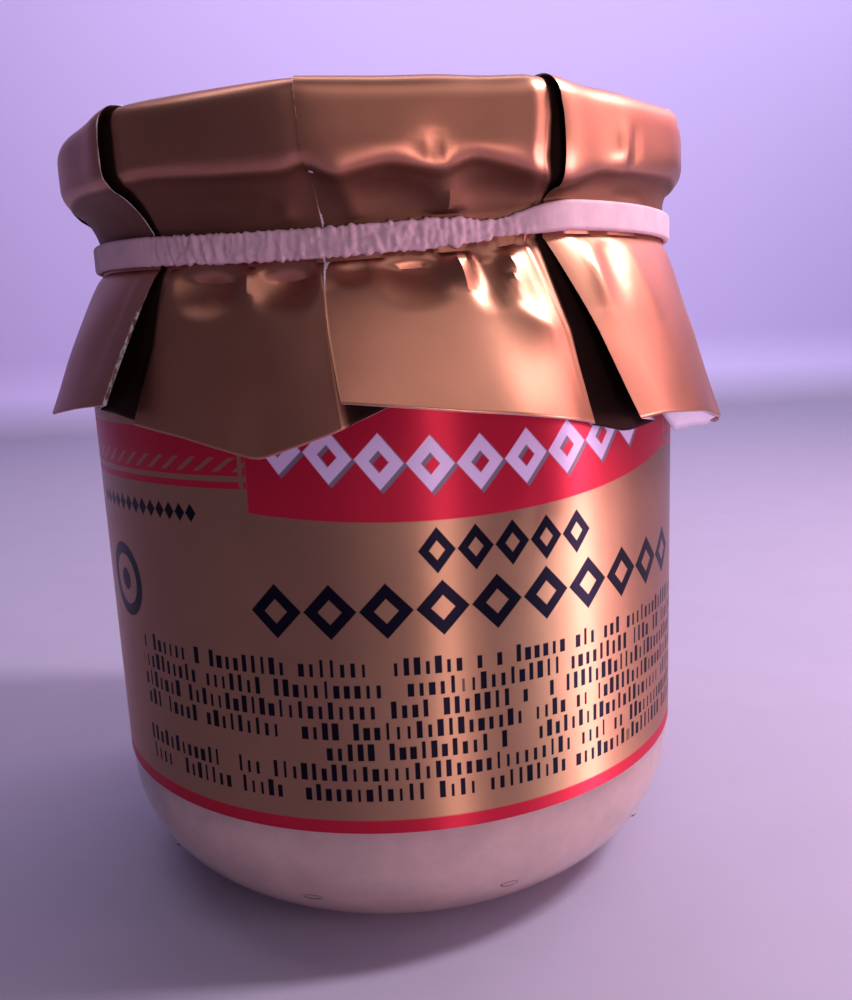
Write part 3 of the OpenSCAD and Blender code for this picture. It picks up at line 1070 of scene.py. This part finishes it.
    def freedom(self):
        """How far each row may move: not under the band, and little on the flat of the lid."""
        free = np.where(self.kind == BAND, 0.0, 1.0)
        free[self.share == 0.0] = 0.15
        first_skirt = int(np.flatnonzero(self.kind == SKIRT)[0])
        last_under = int(np.flatnonzero(self.kind == UNDER)[-1])
        for step, value in enumerate((0.25, 0.6)):
            free[first_skirt + step] = value
            free[last_under - step] = value
        return free

    def edge_marks(self, grid):
        """Where the foil is worn along its crests, where it is torn, and the painted shade deep in its
        folds and under the lid's rim.
        """
        worn = np.zeros(grid.shape[:2])
        torn = np.zeros(grid.shape[:2])
        painted_shade = np.zeros(grid.shape[:2])
        over_lid = self.kind <= UNDER
        near_rim = ease((grid[..., 1] / LID_R - 0.90) / 0.05)
        rubbed = np.where((over_lid & (self.share < 0.3))[:, None], near_rim, 1.0)
        for k in range(self.count):
            columns = np.flatnonzero((self.flap == k) & (self.part == MAIN))
            after = self.pleats[(k + 1) % self.count]
            for pleat, crest in ((self.pleats[k], columns[0]), (after, columns[-1])):
                on_top = (pleat["side"] > 0) == (crest == columns[-1])
                if not on_top:
                    continue
                away = np.abs(grid[:, columns, 0] - grid[:, [crest], 0]) * MM_PER_DEGREE
                lid_wear = mix(pleat["wear"][0], pleat["wear"][1], ease((self.share - 0.40) / 0.15))
                amount = np.where(over_lid, lid_wear, pleat["wear"][2])[:, None]
                worn[:, columns] = np.maximum(worn[:, columns], amount * np.exp(-(away / WORN_WIDTH) ** 2))
                low = np.where(self.kind == SKIRT, ease((self.share - 0.25) / 0.12), 0.0)[:, None]
                rip = pleat["torn"] * low * np.clip(TORN_WIDTH - away, 0, 1)
                torn[:, columns] = np.maximum(torn[:, columns], rip)
        worn *= rubbed
        # Painted shade: the tucked parts and fold-back strips are darkened, more the deeper they lie under
        # the flap on top
        hidden = (self.part == TUCK_START) | (self.part == TUCK_END) | (self.part == FOLD)
        painted_shade[:, hidden] = 1.0
        for part in (TUCK_START, TUCK_END):
            for k in range(self.count):
                columns = np.flatnonzero((self.flap == k) & (self.part == part))
                if len(columns):
                    edge = columns[-1] + 1 if part == TUCK_START else columns[0] - 1
                    deep = np.abs(grid[:, columns, 0] - grid[:, [edge], 0]) * MM_PER_DEGREE
                    painted_shade[:, columns] = ease(deep / 0.9 + 0.15)
        painted_shade *= ease(np.where(over_lid, self.share, 1.0) * 5.0)[:, None]
        # Painted shade under the lid's rim, as strong as UNDER_RIM_SHADE
        shaded = ease((self.share - 0.585) / 0.04) * np.where(over_lid, UNDER_RIM_SHADE, 0.0)
        painted_shade = np.maximum(painted_shade, shaded[:, None])
        return {"worn": worn, "torn": torn, "painted_shade": painted_shade}


def line_distance(azimuth, height, start, end):
    """Distance in millimetres from a line on the cover, and the share along it."""
    run = np.array([(end[0] - start[0]) * MM_PER_DEGREE, end[1] - start[1]])
    du = turned(azimuth - start[0]) * MM_PER_DEGREE
    dz = height - start[1]
    share = np.clip((du * run[0] + dz * run[1]) / run.dot(run), 0.0, 1.0)
    return np.hypot(du - share * run[0], dz - share * run[1]), share


CREASE_ROUND = 0.45
BOWL_POWER = 1.3
WAVE_DEPTH = 0.16

# Creases in the foil: ends as (azimuth, height), how far they stand out, and their width
CREASES = [
    ((7.0, 92.4), (8.8, 88.2), -0.55, 0.8),
    ((9.4, 88.6), (12.2, 84.0), 1.30, 1.1),
    ((12.0, 82.2), (12.6, 76.8), 1.50, 1.1),
    ((-5.0, 88.6), (-3.0, 84.3), 0.45, 0.8),
    ((21.0, 82.2), (19.4, 75.6), 0.80, 1.0),
    ((-36.2, 81.2), (-37.0, 77.2), 0.45, 0.8),
    ((-21.0, 81.0), (-20.4, 76.8), 0.60, 0.9),
    ((-9.9, 80.6), (-8.4, 77.4), 0.30, 0.8),
    ((34.0, 82.6), (34.6, 75.0), 0.50, 1.0),
    ((44.0, 83.0), (47.0, 73.0), 0.35, 1.4),
    ((26.4, 81.0), (34.6, 52.0), -0.50, 2.6),
    ((18.2, 75.4), (26.6, 72.2), 0.45, 1.2),
    ((-15.0, 86.6), (-13.0, 84.6), 0.35, 0.8),
    ((40.4, 89.0), (41.2, 94.6), 0.55, 0.9),
]

# Hollows pressed into the foil: centre as (azimuth, height), half width and half height in
# millimetres, and depth; they are deepest towards their top
HOLLOWS = [
    ((-28.6, 78.6), (5.3, 3.8), 1.45),
    ((-14.8, 78.7), (4.1, 4.0), 1.45),
    ((-4.0, 79.4), (2.6, 1.8), 0.40),
    ((5.4, 78.8), (4.6, 3.7), 1.10),
    ((16.4, 78.8), (3.0, 4.4), 1.05),
    ((2.0, 86.4), (4.4, 2.2), 0.45),
    ((18.5, 86.4), (4.6, 2.4), 0.50),
    ((-24.0, 86.2), (8.0, 1.8), 0.30),
    ((39.0, 79.0), (2.2, 4.5), 0.40),
    ((48.0, 86.6), (5.0, 1.6), 0.30),
    ((43.4, 91.6), (1.0, 3.0), 0.30),
]


def crumple(azimuth, height):
    """How far each point of the cover is pushed out by creases, hollows and slow waves."""
    push = np.zeros_like(azimuth)
    for start, end, rise, width in CREASES:
        distance, share = line_distance(azimuth, height, start, end)
        rounded = np.sqrt(distance ** 2 + CREASE_ROUND ** 2) - CREASE_ROUND
        push += rise * np.exp(-rounded / width) * (0.25 + 0.75 * np.sin(math.pi * share))
    for centre, half, depth in HOLLOWS:
        du = turned(azimuth - centre[0]) * MM_PER_DEGREE / half[0]
        dz = (height - centre[1]) / half[1]
        bowl = np.clip(1.0 - du * du - dz * dz, 0.0, 1.0) ** BOWL_POWER
        push -= depth * bowl * np.clip(0.9 + 0.6 * dz, 0.2, 1.4)
    angle = np.radians(azimuth)
    spots = np.stack([5.2 * np.sin(angle), 5.2 * np.cos(angle), height * 0.14], axis=-1)
    waves = [noise.noise(Vector(p)) for p in spots.reshape(-1, 3)]
    return push + WAVE_DEPTH * np.array(waves).reshape(azimuth.shape)


def cover_material(settings):
    """Metal foil, rubbed pale along its crests, torn at one edge, with painted shade darkening it in its
    folds and under the lid's rim.
    """
    n = Nodes("cover_foil")
    place = n.coordinates()
    mottle = n.noise(place, 60.0, 4.0, 0.55)
    grain = n.noise(place, 1500.0, 2.0, 0.6)
    broken = n.noise(place, 420.0, 4.0, 0.75)
    streaks = n.noise(n.coordinates((1.0, 1.0, 0.12)), 1900.0, 3.0, 0.7)
    worn = n.attribute("worn")
    torn = n.attribute("torn")
    painted_shade = n.attribute("painted_shade")
    metal = rgba(settings.metal)
    darker = rgba(settings.metal, 0.84)
    base = n.blend(n.remap(mottle, 0.35, 0.68, 0.0, 1.0), darker, metal)
    # Painted shade: the foil is darkened nearly to black in its folds and under the lid's rim
    base = n.blend(n.math("MULTIPLY", painted_shade, 0.93), base, (0.010, 0.005, 0.007, 1.0))
    layers = n.blend(n.remap(streaks, 0.45, 0.60, 0.0, 1.0), (0.16, 0.06, 0.035, 1.0), rgba(settings.worn))
    rip = n.step(n.math("ADD", torn, n.math("MULTIPLY", broken, 0.6)), 0.80, 0.95)
    base = n.blend(rip, base, layers)
    rub = n.math("MULTIPLY", n.step(n.math("ADD", worn, n.math("MULTIPLY", broken, 0.9)), 0.98, 1.12),
                 n.step(worn, 0.10, 0.25))
    base = n.blend(rub, base, rgba(settings.worn))
    bare = n.math("MAXIMUM", rub, rip)
    metallic = n.math("SUBTRACT", 1.0, bare)
    rough = n.math("ADD", n.math("ADD", settings.roughness, n.math("MULTIPLY", mottle, 0.08)),
                   n.math("MULTIPLY", n.math("MAXIMUM", bare, painted_shade), 0.35))
    n.bump(n.math("ADD", grain, n.math("MULTIPLY", rip, streaks)), 0.10, 0.00005)
    n.set(Base_Color=base, Metallic=metallic, Roughness=rough)
    return n.material


def reverse_material(settings):
    """The foil's paper side."""
    n = Nodes("cover_reverse")
    fibres = n.noise(n.coordinates((1.0, 1.0, 3.0)), 700.0, 4.0, 0.65)
    darker = rgba(settings.reverse, 0.88)
    base = n.blend(fibres, darker, rgba(settings.reverse))
    n.bump(fibres, 0.15, 0.00005)
    n.set(Base_Color=base, Roughness=0.55)
    return n.material


def turned_hem(sheet, settings):
    """The right front flap's corner, turned under so that the foil's reverse shows below the hem."""
    turns = np.linspace(TURNED_FROM, TURNED_TO, 25)
    radius, hem = sheet.hem(2, turns, 0.0, 1.0)
    share = (turns - TURNED_FROM) / (TURNED_TO - TURNED_FROM)
    drop = TURNED_DROP * np.clip(share / 0.16, 0.0, 1.0) * (1.0 - 0.7 * share)
    rows = [at(turns, radius - mix(0.35, 1.35, t), mix(hem + 0.7, hem - drop, t))
            for t in (0.0, 0.35, 0.7, 1.0)]
    width = len(turns)
    faces = []
    for i in range(len(rows) - 1):
        a = i * width
        b = a + width
        faces += [(a + j, b + j, b + j + 1, a + j + 1) for j in range(width - 1)]
    mesh = bpy.data.meshes.new("foil_turned_hem")
    mesh.from_pydata(np.concatenate(rows).tolist(), [], faces)
    mesh.materials.append(reverse_material(settings))
    smooth_faces(mesh, 38)
    piece = new_object("foil_turned_hem", mesh)
    shell = piece.modifiers.new("thickness", "SOLIDIFY")
    shell.thickness = settings.thickness
    shell.offset = -1.0
    return piece


class JAR_OT_cover(bpy.types.Operator):
    """Make the foil cover: one sheet, knife-pleated over the lid and gathered under the band"""

    bl_idname = "jar.cover"
    bl_label = "Foil Cover"

    def execute(self, context):
        s = context.scene.jar_cover
        sheet = Sheet(s)
        grid = sheet.points()
        rows, width = grid.shape[:2]
        vertices = at(grid[..., 0], grid[..., 1], grid[..., 2]).reshape(-1, 3)
        pole = len(vertices)
        vertices = np.vstack([vertices, [[0.0, 0.0, grid[0, :, 2].mean() * MM]]])
        faces = [(pole, j, (j + 1) % width) for j in range(width)]
        for i in range(rows - 1):
            a = i * width
            b = a + width
            faces += [(a + j, b + j, b + (j + 1) % width, a + (j + 1) % width) for j in range(width)]
        mesh = bpy.data.meshes.new("foil_cover_sheet")
        mesh.from_pydata(vertices.tolist(), [], faces)
        for name, values in sheet.edge_marks(grid).items():
            layer = mesh.attributes.new(name, "FLOAT", "POINT")
            layer.data.foreach_set("value", np.append(values.ravel(), 0.0).astype(np.float32))
        mesh.materials.append(cover_material(s))
        mesh.materials.append(reverse_material(s))
        piece = new_object("foil_cover_sheet", mesh)
        weld = piece.modifiers.new("weld", "WELD")
        weld.merge_threshold = 0.002 * MM
        welded = evaluated_mesh(piece, "foil_cover_sheet")
        piece.modifiers.remove(weld)
        smooth_faces(welded, 38)
        piece.data = welded
        shell = piece.modifiers.new("thickness", "SOLIDIFY")
        shell.thickness = s.thickness
        shell.offset = -1.0
        shell.material_offset = 1
        shell.material_offset_rim = 1
        finish_piece(piece, ["foil_cover"])
        finish_piece(turned_hem(sheet, s), [])
        return {"FINISHED"}


# ---------------------------------------------------------------- elastic band


# Azimuths in degrees where the crinkles start and end and where the strip is twisted narrow
CRINKLES_FROM = -46.0
CRINKLES_TO = 27.0
FADE_IN = 14.0
FADE_OUT = 9.0
TWIST_AT = 19.5
TWIST_REACH = 5.5
TWIST_PINCH = 0.40
CRINKLE_STRETCH = 2.2
CORNER_SHARE = 0.42
CORNER_STEPS = 4
SECTION_POINTS = 44
PATH_POINTS = 1100
BAND_OFF = 0.36


def band_tree():
    """Nodes that sweep a rounded strip along a closed path and crinkle its face."""
    sizes = ("Width", "Thickness", "Crinkle depth", "Crinkle pitch", "From", "To", "Twist at")
    tree, given, out = geometry_tree("elastic_band", sizes)
    add = tree.nodes.new
    link = tree.links.new

    def calc(operation, *values):
        node = add("ShaderNodeMath")
        node.operation = operation
        for value, socket in zip(values, node.inputs):
            if isinstance(value, bpy.types.NodeSocket):
                link(value, socket)
            else:
                socket.default_value = value
        return node.outputs[0]

    upright = add("GeometryNodeSetCurveNormal")
    upright.mode = "Z_UP"
    link(given.outputs["Geometry"], upright.inputs["Curve"])
    strip = add("GeometryNodeCurvePrimitiveQuadrilateral")
    link(given.outputs["Thickness"], strip.inputs["Width"])
    link(given.outputs["Width"], strip.inputs["Height"])
    rounded = add("GeometryNodeFilletCurve")
    rounded.mode = "POLY"
    rounded.inputs["Count"].default_value = CORNER_STEPS
    link(strip.outputs[0], rounded.inputs["Curve"])
    link(calc("MULTIPLY", given.outputs["Thickness"], CORNER_SHARE), rounded.inputs["Radius"])
    fine = add("GeometryNodeResampleCurve")
    fine.inputs["Count"].default_value = SECTION_POINTS
    link(rounded.outputs[0], fine.inputs["Curve"])
    place = add("GeometryNodeInputPosition")
    parts = add("ShaderNodeSeparateXYZ")
    link(place.outputs[0], parts.inputs[0])
    turn = calc("ARCTAN2", parts.outputs["X"], calc("MULTIPLY", parts.outputs["Y"], -1.0))
    off_twist = calc("DIVIDE", calc("SUBTRACT", turn, given.outputs["Twist at"]), math.radians(TWIST_REACH))
    bell = calc("EXPONENT", calc("MULTIPLY", calc("MULTIPLY", off_twist, off_twist), -1.0))
    scale = calc("SUBTRACT", 1.0, calc("MULTIPLY", bell, TWIST_PINCH))
    sweep = add("GeometryNodeCurveToMesh")
    link(scale, sweep.inputs["Scale"])
    link(upright.outputs[0], sweep.inputs["Curve"])
    link(fine.outputs[0], sweep.inputs["Profile Curve"])
    rise = add("ShaderNodeMapRange")
    link(turn, rise.inputs["Value"])
    link(given.outputs["From"], rise.inputs["From Min"])
    link(calc("ADD", given.outputs["From"], math.radians(FADE_IN)), rise.inputs["From Max"])
    fall = add("ShaderNodeMapRange")
    link(turn, fall.inputs["Value"])
    link(given.outputs["To"], fall.inputs["From Min"])
    link(calc("SUBTRACT", given.outputs["To"], math.radians(FADE_OUT)), fall.inputs["From Max"])
    mask = calc("MULTIPLY", rise.outputs[0], fall.outputs[0])
    reach = calc("SQRT", calc("ADD", calc("MULTIPLY", parts.outputs["X"], parts.outputs["X"]),
                              calc("MULTIPLY", parts.outputs["Y"], parts.outputs["Y"])))
    across = calc("DIVIDE", calc("MULTIPLY", turn, reach), given.outputs["Crinkle pitch"])
    spot = add("ShaderNodeCombineXYZ")
    link(across, spot.inputs["X"])
    stretch = calc("MULTIPLY", given.outputs["Crinkle pitch"], CRINKLE_STRETCH)
    link(calc("DIVIDE", parts.outputs["Z"], stretch), spot.inputs["Y"])
    rough = add("ShaderNodeTexNoise")
    rough.inputs["Scale"].default_value = 1.0
    rough.inputs["Detail"].default_value = 2.0
    link(spot.outputs[0], rough.inputs["Vector"])
    push = calc("MULTIPLY", calc("SUBTRACT", rough.outputs["Fac"], 0.55),
                calc("MULTIPLY", mask, calc("MULTIPLY", given.outputs["Crinkle depth"], 3.0)))
    normal = add("GeometryNodeInputNormal")
    move = add("ShaderNodeVectorMath")
    move.operation = "SCALE"
    link(normal.outputs[0], move.inputs[0])
    link(push, move.inputs["Scale"])
    shaped = add("GeometryNodeSetPosition")
    link(sweep.outputs[0], shaped.inputs["Geometry"])
    link(move.outputs[0], shaped.inputs["Offset"])
    end_tree(tree, shaped, given, out)
    return tree


def band_material(settings):
    """Matt rubber."""
    n = Nodes("band_rubber")
    place = n.coordinates()
    mottle = n.noise(place, 220.0, 4.0, 0.6)
    grain = n.noise(place, 2200.0, 3.0, 0.6)
    darker = rgba(settings.rubber, 0.80)
    base = n.blend(n.remap(mottle, 0.35, 0.68, 0.0, 1.0), darker, rgba(settings.rubber))
    n.bump(grain, 0.30, 0.00008)
    n.set(Base_Color=base, Roughness=0.62, Subsurface_Weight=0.12, Subsurface_Scale=0.0008,
          Subsurface_Radius=(1.0, 0.6, 0.6))
    return n.material


class JAR_OT_band(bpy.types.Operator):
    """Make the elastic band round the neck, crinkled across the front"""

    bl_idname = "jar.band"
    bl_label = "Elastic Band"

    def execute(self, context):
        s = context.scene.jar_band
        azimuths = np.arange(PATH_POINTS) * 360.0 / PATH_POINTS - 180.0
        middle = gathered_radius(azimuths) + BAND_OFF + s.thickness / MM / 2
        path = at(azimuths, middle, band_height(azimuths))
        curve = bpy.data.curves.new("band_path", "CURVE")
        curve.dimensions = "3D"
        spline = curve.splines.new("POLY")
        spline.points.add(PATH_POINTS - 1)
        spline.points.foreach_set("co", np.hstack([path, np.ones((PATH_POINTS, 1))]).ravel())
        spline.use_cyclic_u = True
        seed = new_object("band_path", curve)
        modifier = seed.modifiers.new("band", "NODES")
        modifier.node_group = band_tree()
        set_inputs(modifier, {
            "Width": s.width,
            "Thickness": s.thickness,
            "Crinkle depth": s.rib_depth,
            "Crinkle pitch": s.rib_pitch,
            "From": math.radians(CRINKLES_FROM),
            "To": math.radians(CRINKLES_TO),
            "Twist at": math.radians(TWIST_AT),
            "Material": band_material(s),
        })
        mesh = evaluated_mesh(seed, "elastic_band_strip")
        bpy.data.objects.remove(seed)
        smooth_faces(mesh)
        finish_piece(new_object("elastic_band_strip", mesh), ["elastic_band"])
        return {"FINISHED"}


# ---------------------------------------------------------------- lid


class JAR_OT_lid(bpy.types.Operator):
    """Finish the lid, which the cover hides"""

    bl_idname = "jar.lid"
    bl_label = "Lid"

    def execute(self, context):
        n = Nodes("lid_lacquer")
        mottle = n.noise(n.coordinates(), 120.0, 3.0)
        base = n.blend(mottle, (0.50, 0.42, 0.34, 1.0), (0.60, 0.52, 0.43, 1.0))
        n.bump(mottle, 0.05, 0.0001)
        n.set(Base_Color=base, Metallic=0.8, Roughness=0.35)
        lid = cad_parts["lid"]
        lid.data.materials.clear()
        lid.data.materials.append(n.material)
        return {"FINISHED"}


# ---------------------------------------------------------------- stage


def soft_light(name, centre, target, size, power, tint):
    """An area light, centre and target in millimetres, size (width, height) in millimetres."""
    data = bpy.data.lights.new(name, "AREA")
    data.shape = "RECTANGLE"
    data.size = size[0] * MM
    data.size_y = size[1] * MM
    data.energy = power
    data.color = tint
    lamp = bpy.data.objects.new(name, data)
    bpy.context.scene.collection.objects.link(lamp)
    lamp.location = Vector(centre) * MM
    away = Vector(centre) - Vector(target)
    lamp.rotation_mode = "QUATERNION"
    lamp.rotation_quaternion = away.to_track_quat("Z", "Y")
    return lamp


class JAR_OT_stage(bpy.types.Operator):
    """Make the floor with its curved backdrop, the soft lights and the camera"""

    bl_idname = "jar.stage"
    bl_label = "Stage"

    def execute(self, context):
        s = context.scene.jar_stage
        self.floor(s)
        self.camera(s)
        soft_light("window_right", (330, -40, 260), (0, 0, 230), (110, 420), 0.46, (1.0, 0.58, 0.66))
        soft_light("window_low", (278, -106, 40), (0, 0, 36), (16, 64), 0.36, (1.0, 0.70, 0.80))
        soft_light("window_far_right", (290, 120, 290), (0, 0, 120), (330, 280), 0.46, (1.0, 0.41, 0.52))
        soft_light("high_right", (286, -30, 348), (0, 0, 70), (40, 100), 1.70, (1.0, 0.97, 1.0))
        soft_light("front_high", (56, -280, 300), (0, 0, 70), (300, 200), 0.19, (1.0, 0.90, 0.92))
        soft_light("front_low", (82, -275, 30), (0, 0, 30), (14, 46), 0.14, (1.0, 0.76, 0.76))
        soft_light("backdrop_wash", (240, 200, 620), (150, 660, 140), (1300, 160), 5.6, (0.95, 0.92, 1.0))
        world = bpy.data.worlds.new("studio")
        world.use_nodes = True
        sky = world.node_tree.nodes["Background"]
        sky.inputs["Color"].default_value = (0.52, 0.44, 0.66, 1.0)
        sky.inputs["Strength"].default_value = 0.19
        context.scene.world = world
        context.scene.view_settings.view_transform = "Standard"
        return {"FINISHED"}

    def floor(self, s):
        """A pale floor that bends up into a backdrop behind the jar."""
        near, far, side = 900.0, 620.0, 1500.0
        bend = 60.0
        profile = [(-near, 0.0), (-near / 3, 0.0), (0.0, 0.0), (far - bend, 0.0)]
        for a in np.linspace(-80, 0, 12):
            profile.append((far - bend + bend * math.cos(math.radians(a)),
                            bend + bend * math.sin(math.radians(a))))
        profile += [(far, 700.0), (far, 1300.0)]
        vertices = []
        for y, z in profile:
            vertices += [(-side * MM, y * MM, z * MM), (side * MM, y * MM, z * MM)]
        faces = [(2 * i, 2 * i + 1, 2 * i + 3, 2 * i + 2) for i in range(len(profile) - 1)]
        mesh = bpy.data.meshes.new("floor")
        mesh.from_pydata(vertices, [], faces)
        smooth_faces(mesh)
        n = Nodes("pale_floor")
        speckle = n.noise(n.coordinates(), 60.0, 6.0, 0.6)
        darker = rgba(s.floor_color, 0.90)
        ground = n.blend(speckle, darker, rgba(s.floor_color))
        split = n.add("ShaderNodeSeparateXYZ")
        n.put(n.coordinates(), split.inputs[0])
        rise = n.step(split.outputs["Z"], 2.0 * MM, 30.0 * MM)
        n.set(Base_Color=n.blend(rise, ground, rgba(s.wall_color)), Roughness=0.6)
        mesh.materials.append(n.material)
        new_object("floor", mesh)

    def camera(self, s):
        """The camera in front of the jar, turned by its pan, pitch and roll."""
        data = bpy.data.cameras.new("camera")
        data.lens = s.lens
        data.sensor_width = 36.0
        data.sensor_fit = "AUTO"
        data.clip_start = 0.01
        data.clip_end = 20.0
        camera = bpy.data.objects.new("camera", data)
        bpy.context.scene.collection.objects.link(camera)
        ahead = Vector((math.sin(s.pan) * math.cos(s.pitch), math.cos(s.pan) * math.cos(s.pitch),
                        -math.sin(s.pitch)))
        right = Vector((math.cos(s.pan), -math.sin(s.pan), 0.0))
        up = right.cross(ahead)
        rolled_right = math.cos(s.roll) * right + math.sin(s.roll) * up
        rolled_up = -math.sin(s.roll) * right + math.cos(s.roll) * up
        turn = Matrix((rolled_right, rolled_up, -ahead)).transposed()
        camera.matrix_world = Matrix.Translation((0.0, -s.distance, s.height)) @ turn.to_4x4()
        bpy.context.scene.camera = camera


# ---------------------------------------------------------------- panel and main


class JAR_PT_panel(bpy.types.Panel):
    """Lists the pieces of the jar"""

    bl_idname = "JAR_PT_panel"
    bl_label = "Mayonnaise Jar"
    bl_space_type = "VIEW_3D"
    bl_region_type = "UI"
    bl_category = "Jar"

    def draw(self, context):
        for name in STEPS:
            self.layout.operator(f"jar.{name}")


STEPS = ["glass", "filling", "label", "lid", "cover", "band", "stage"]
SETTINGS = {
    "jar_glass": GlassSettings,
    "jar_label": LabelSettings,
    "jar_cover": CoverSettings,
    "jar_band": BandSettings,
    "jar_stage": StageSettings,
}
CLASSES = list(SETTINGS.values()) + [
    JAR_OT_glass, JAR_OT_filling, JAR_OT_label, JAR_OT_lid, JAR_OT_cover, JAR_OT_band, JAR_OT_stage,
    JAR_PT_panel,
]


def register():
    for cls in CLASSES:
        bpy.utils.register_class(cls)
    for name, group in SETTINGS.items():
        setattr(bpy.types.Scene, name, PointerProperty(type=group))


def unregister():
    for name in SETTINGS:
        delattr(bpy.types.Scene, name)
    for cls in reversed(CLASSES):
        bpy.utils.unregister_class(cls)


def main():
    register()
    for name in STEPS:
        getattr(bpy.ops.jar, name)()


if __name__ == "__main__":
    main()
